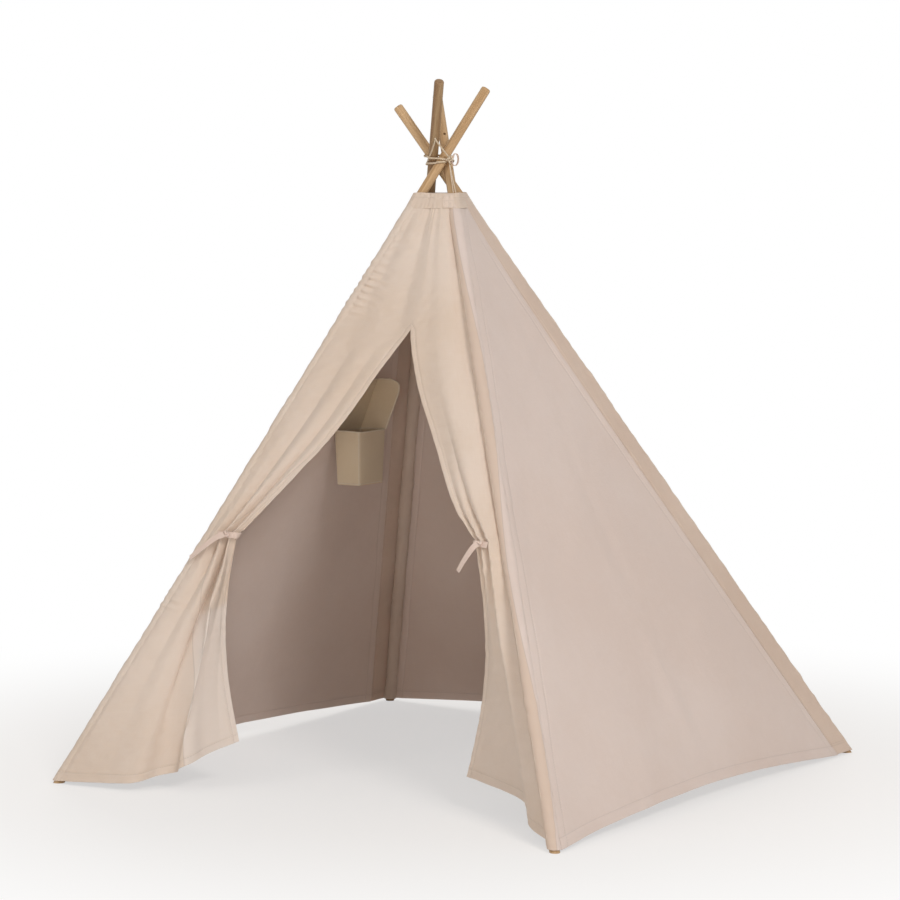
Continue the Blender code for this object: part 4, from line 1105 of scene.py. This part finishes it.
def pocket_sag(along_share, z):
    """How far the left wall hangs in behind the pocket."""
    return WALL_SAG * np.sin(math.pi * along_share) * np.sin(
        math.pi * (z - LOW) / (COVER_TOP - LOW))


def build_pocket_box():
    low, high = (np.array(c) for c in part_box("pocket_box"))
    middle, half = (low + high) / 2, (high - low) / 2
    z = np.linspace(low[2], high[2], 40)
    share = (z - low[2]) / (high[2] - low[2])
    corner, round_steps, side_steps = 0.006, 7, 12
    spots = np.array(((1, 1), (-1, 1), (-1, -1), (1, -1)))
    places, turns, bellies = [], [], []
    for quarter, spot in enumerate(spots):
        t = np.linspace(0, 1, side_steps + 2)[1:-1]
        places += [np.tile(spot, (round_steps, 1)),
                   spot + (spots[(quarter + 1) % 4] - spot) * t[:, None]]
        turns += [np.linspace(quarter, quarter + 1, round_steps), np.full(side_steps, quarter + 1)]
        bellies += [np.zeros(round_steps), np.sin(math.pi * t)]
    place, turn = np.concatenate(places), np.concatenate(turns) * math.pi / 2
    swell = 0.0020 * np.concatenate(bellies) * np.sin(math.pi * share)[:, None]
    reach = half[:2] * (0.90 + 0.10 * share)[:, None, None] - corner - 0.0008
    way = np.stack([np.cos(turn), np.sin(turn)], -1)
    level = middle[:2] + place * reach + way * (corner + swell)[..., None]
    wave = np.sin(np.linspace(0, math.tau * 2, len(turn))) * 0.0008
    loops = np.concatenate([level, (z[:, None] + wave * share[:, None])[..., None]], -1)

    centre = loops[0].mean(0)
    bottom = [centre + (loops[0] - centre) * f for f in (0.02, 0.5, 0.9)]
    grid = np.concatenate([bottom, loops])
    closed = np.concatenate([loops, loops[:, :1]], 1)
    v = np.concatenate([[-0.05, -0.03, -0.005], z - low[2]])[:, None]
    box = grid_piece("pocket_bag", grid, (path_lengths(closed[-1]), v), POCKET_CLOTH, closed=True,
                     thickness=POCKET_THICK)
    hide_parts("pocket_box")
    parts = [box, loop_piece("pocket_rim", closed[-1], 0.0017, PIPING),
             loop_piece("pocket_base_piping", closed[1], 0.0013, PIPING)]
    for index, column in enumerate(range(round_steps // 2, len(turn), len(turn) // 4)):
        parts.append(tube_piece("pocket_edge_%d" % index, loops[:, column], 0.0013, PIPING))
    return parts


def build_pocket_back():
    low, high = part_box("pocket_back")
    z = np.linspace(low[2], high[2] - 0.001, 26)[:, None]
    y = np.linspace(-0.0500, 0.0500, 30)
    width = LEFT.frame(z)[3]
    along = width / 2 - POCKET_SHIFT - y
    points = LEFT.point(along, z, pocket_sag(along / width, z) + CLOTH + 0.0030)
    points[..., 0] += np.sin(np.linspace(0, 9, len(y))) * 0.0007 + 0.0008
    back = grid_piece("pocket_panel", points, (y, z - z[0]), POCKET_CLOTH, (1, 0, 0),
                      thickness=POCKET_THICK)
    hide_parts("pocket_back")
    return [back, loop_piece("pocket_panel_piping", points[-1], 0.0014, PIPING)]


def build_pocket_side():
    low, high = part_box("pocket_side")
    count, corner = 30, 0.030
    z = np.linspace(low[2], high[2], count)
    depth = pocket_sag(0.5, z) + CLOTH / 2 + 0.0018
    inner = LEFT.point(LEFT.frame(z)[3] / 2 - POCKET_SHIFT, z, depth)[:, :1]
    lift = np.clip(z - (high[2] - corner), 0, corner)
    outer = inner + 0.066 - corner + np.sqrt(np.maximum(corner ** 2 - lift ** 2, 1e-9))[:, None]
    t = np.linspace(0, 1, 22)
    x = inner + (outer - inner) * t
    bulge = 0.0022 * np.sin(math.pi * t) * np.sin(math.pi * np.linspace(0, 1, count))[:, None]
    rise = np.broadcast_to(z[:, None], x.shape)
    points = np.stack([x, (low[1] + high[1]) / 2 + bulge - 0.0006, rise], -1)
    side = grid_piece("pocket_gusset", points, (x - inner, rise - z[0]), POCKET_CLOTH, (0, -1, 0),
                      thickness=POCKET_THICK)
    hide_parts("pocket_side")
    edge = np.concatenate([points[:, -1], points[-1, ::-1][1:]])
    return [side, tube_piece("pocket_gusset_piping", curve_through(edge[::3], 60), 0.0016, PIPING)]


for part in build_pocket_box() + build_pocket_back() + build_pocket_side():
    CRUMPLES[LEFT].apply(part, BL, 0.8)
    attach(part, BL.body)


# Wood and metal

def coat(node, material):
    node.data.materials.clear()
    node.data.materials.append(material)


for pole in POLES:
    timber = wood(pole)
    for part in ("lower", "middle", "upper"):
        coat(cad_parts["pole_%s_%s" % (pole.name, part)], timber)
tube_metal = metal()
for name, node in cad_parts.items():
    if name.startswith("connector_"):
        coat(node, tube_metal)


# Studio

def seen_directly(net):
    """1 for what the camera, gloss or glass sees, and 0 for light that falls on surfaces."""
    path = net.make("ShaderNodeLightPath")
    seen = net.math("MAXIMUM", path.outputs["Is Camera Ray"], path.outputs["Is Glossy Ray"])
    return net.math("MAXIMUM", seen, path.outputs["Is Transmission Ray"])


def build_floor():
    bm = bmesh.new()
    bmesh.ops.create_grid(bm, x_segments=1, y_segments=1, size=60.0)
    mesh = bpy.data.meshes.new("floor")
    bm.to_mesh(mesh)
    bm.free()
    floor = new_object("floor", mesh)
    material, net, shader = new_material("floor_paper")
    net.settle(shader, {"Base Color": (0.84, 0.80, 0.765, 1), "Roughness": 0.9,
                        "Specular IOR Level": 0.0})
    white = net.make("ShaderNodeEmission", {"Color": (1, 1, 1, 1), "Strength": 1.0})
    spot = net.make("ShaderNodeVectorMath", {0: net.place()}, operation="LENGTH")
    away = net.times(net.span(spot.outputs["Value"], 0.6, 2.0, 0.55, 1.0), seen_directly(net))
    cover = net.make("ShaderNodeMixShader", {0: away, 1: shader.outputs[0], 2: white.outputs[0]})
    net.settle(net.tree.nodes["Material Output"], {"Surface": cover.outputs[0]})
    mesh.materials.append(material)


def build_light(name, place, target, size, power, color=(1, 1, 1)):
    light = bpy.data.lights.new(name, "AREA")
    light.shape = "DISK"
    light.size = size
    light.energy = power
    light.color = color
    lamp = new_object(name, light)
    lamp.location = place
    way = Vector(target) - Vector(place)
    lamp.rotation_euler = way.to_track_quat("-Z", "Y").to_euler()


def build_world():
    world = bpy.data.worlds.new("studio")
    bpy.context.scene.world = world
    world.use_nodes = True
    world.node_tree.nodes.clear()
    net = Net(world.node_tree)
    ambient = net.make("ShaderNodeBackground", {"Color": (1.0, 0.965, 0.93, 1), "Strength": 0.42})
    white = net.make("ShaderNodeBackground", {"Color": (1, 1, 1, 1), "Strength": 1.0})
    mix = net.make("ShaderNodeMixShader", {0: seen_directly(net), 1: ambient.outputs[0],
                                           2: white.outputs[0]})
    net.make("ShaderNodeOutputWorld", {"Surface": mix.outputs[0]})


def build_camera():
    data = bpy.data.cameras.new("camera")
    data.sensor_width = 36.0
    data.lens = 128.0
    data.clip_end = 200.0
    camera = new_object("camera", data)
    camera.location = (3.666, -5.573, 1.289)
    camera.rotation_euler = (math.radians(84.72), 0.0, math.radians(33.56))
    bpy.context.scene.camera = camera


build_floor()
build_world()
build_light("key", (4.6, -2.8, 4.4), (0, 0, 0.5), 1.8, 156.0, (1.0, 0.985, 0.97))
build_light("fill", (-2.5, -5.5, 3.2), (0, 0, 0.5), 2.4, 42.0, (1.0, 0.975, 0.94))
build_light("low", (2.6, -4.4, 1.0), (0, 0, 0.5), 1.0, 42.0, (1.0, 0.97, 0.93))
build_light("rim", (-2.5, 4.2, 3.4), (0, 0, 0.6), 2.5, 80.0)
build_camera()
bpy.context.scene.view_settings.view_transform = "Standard"

bpy.context.view_layer.update()
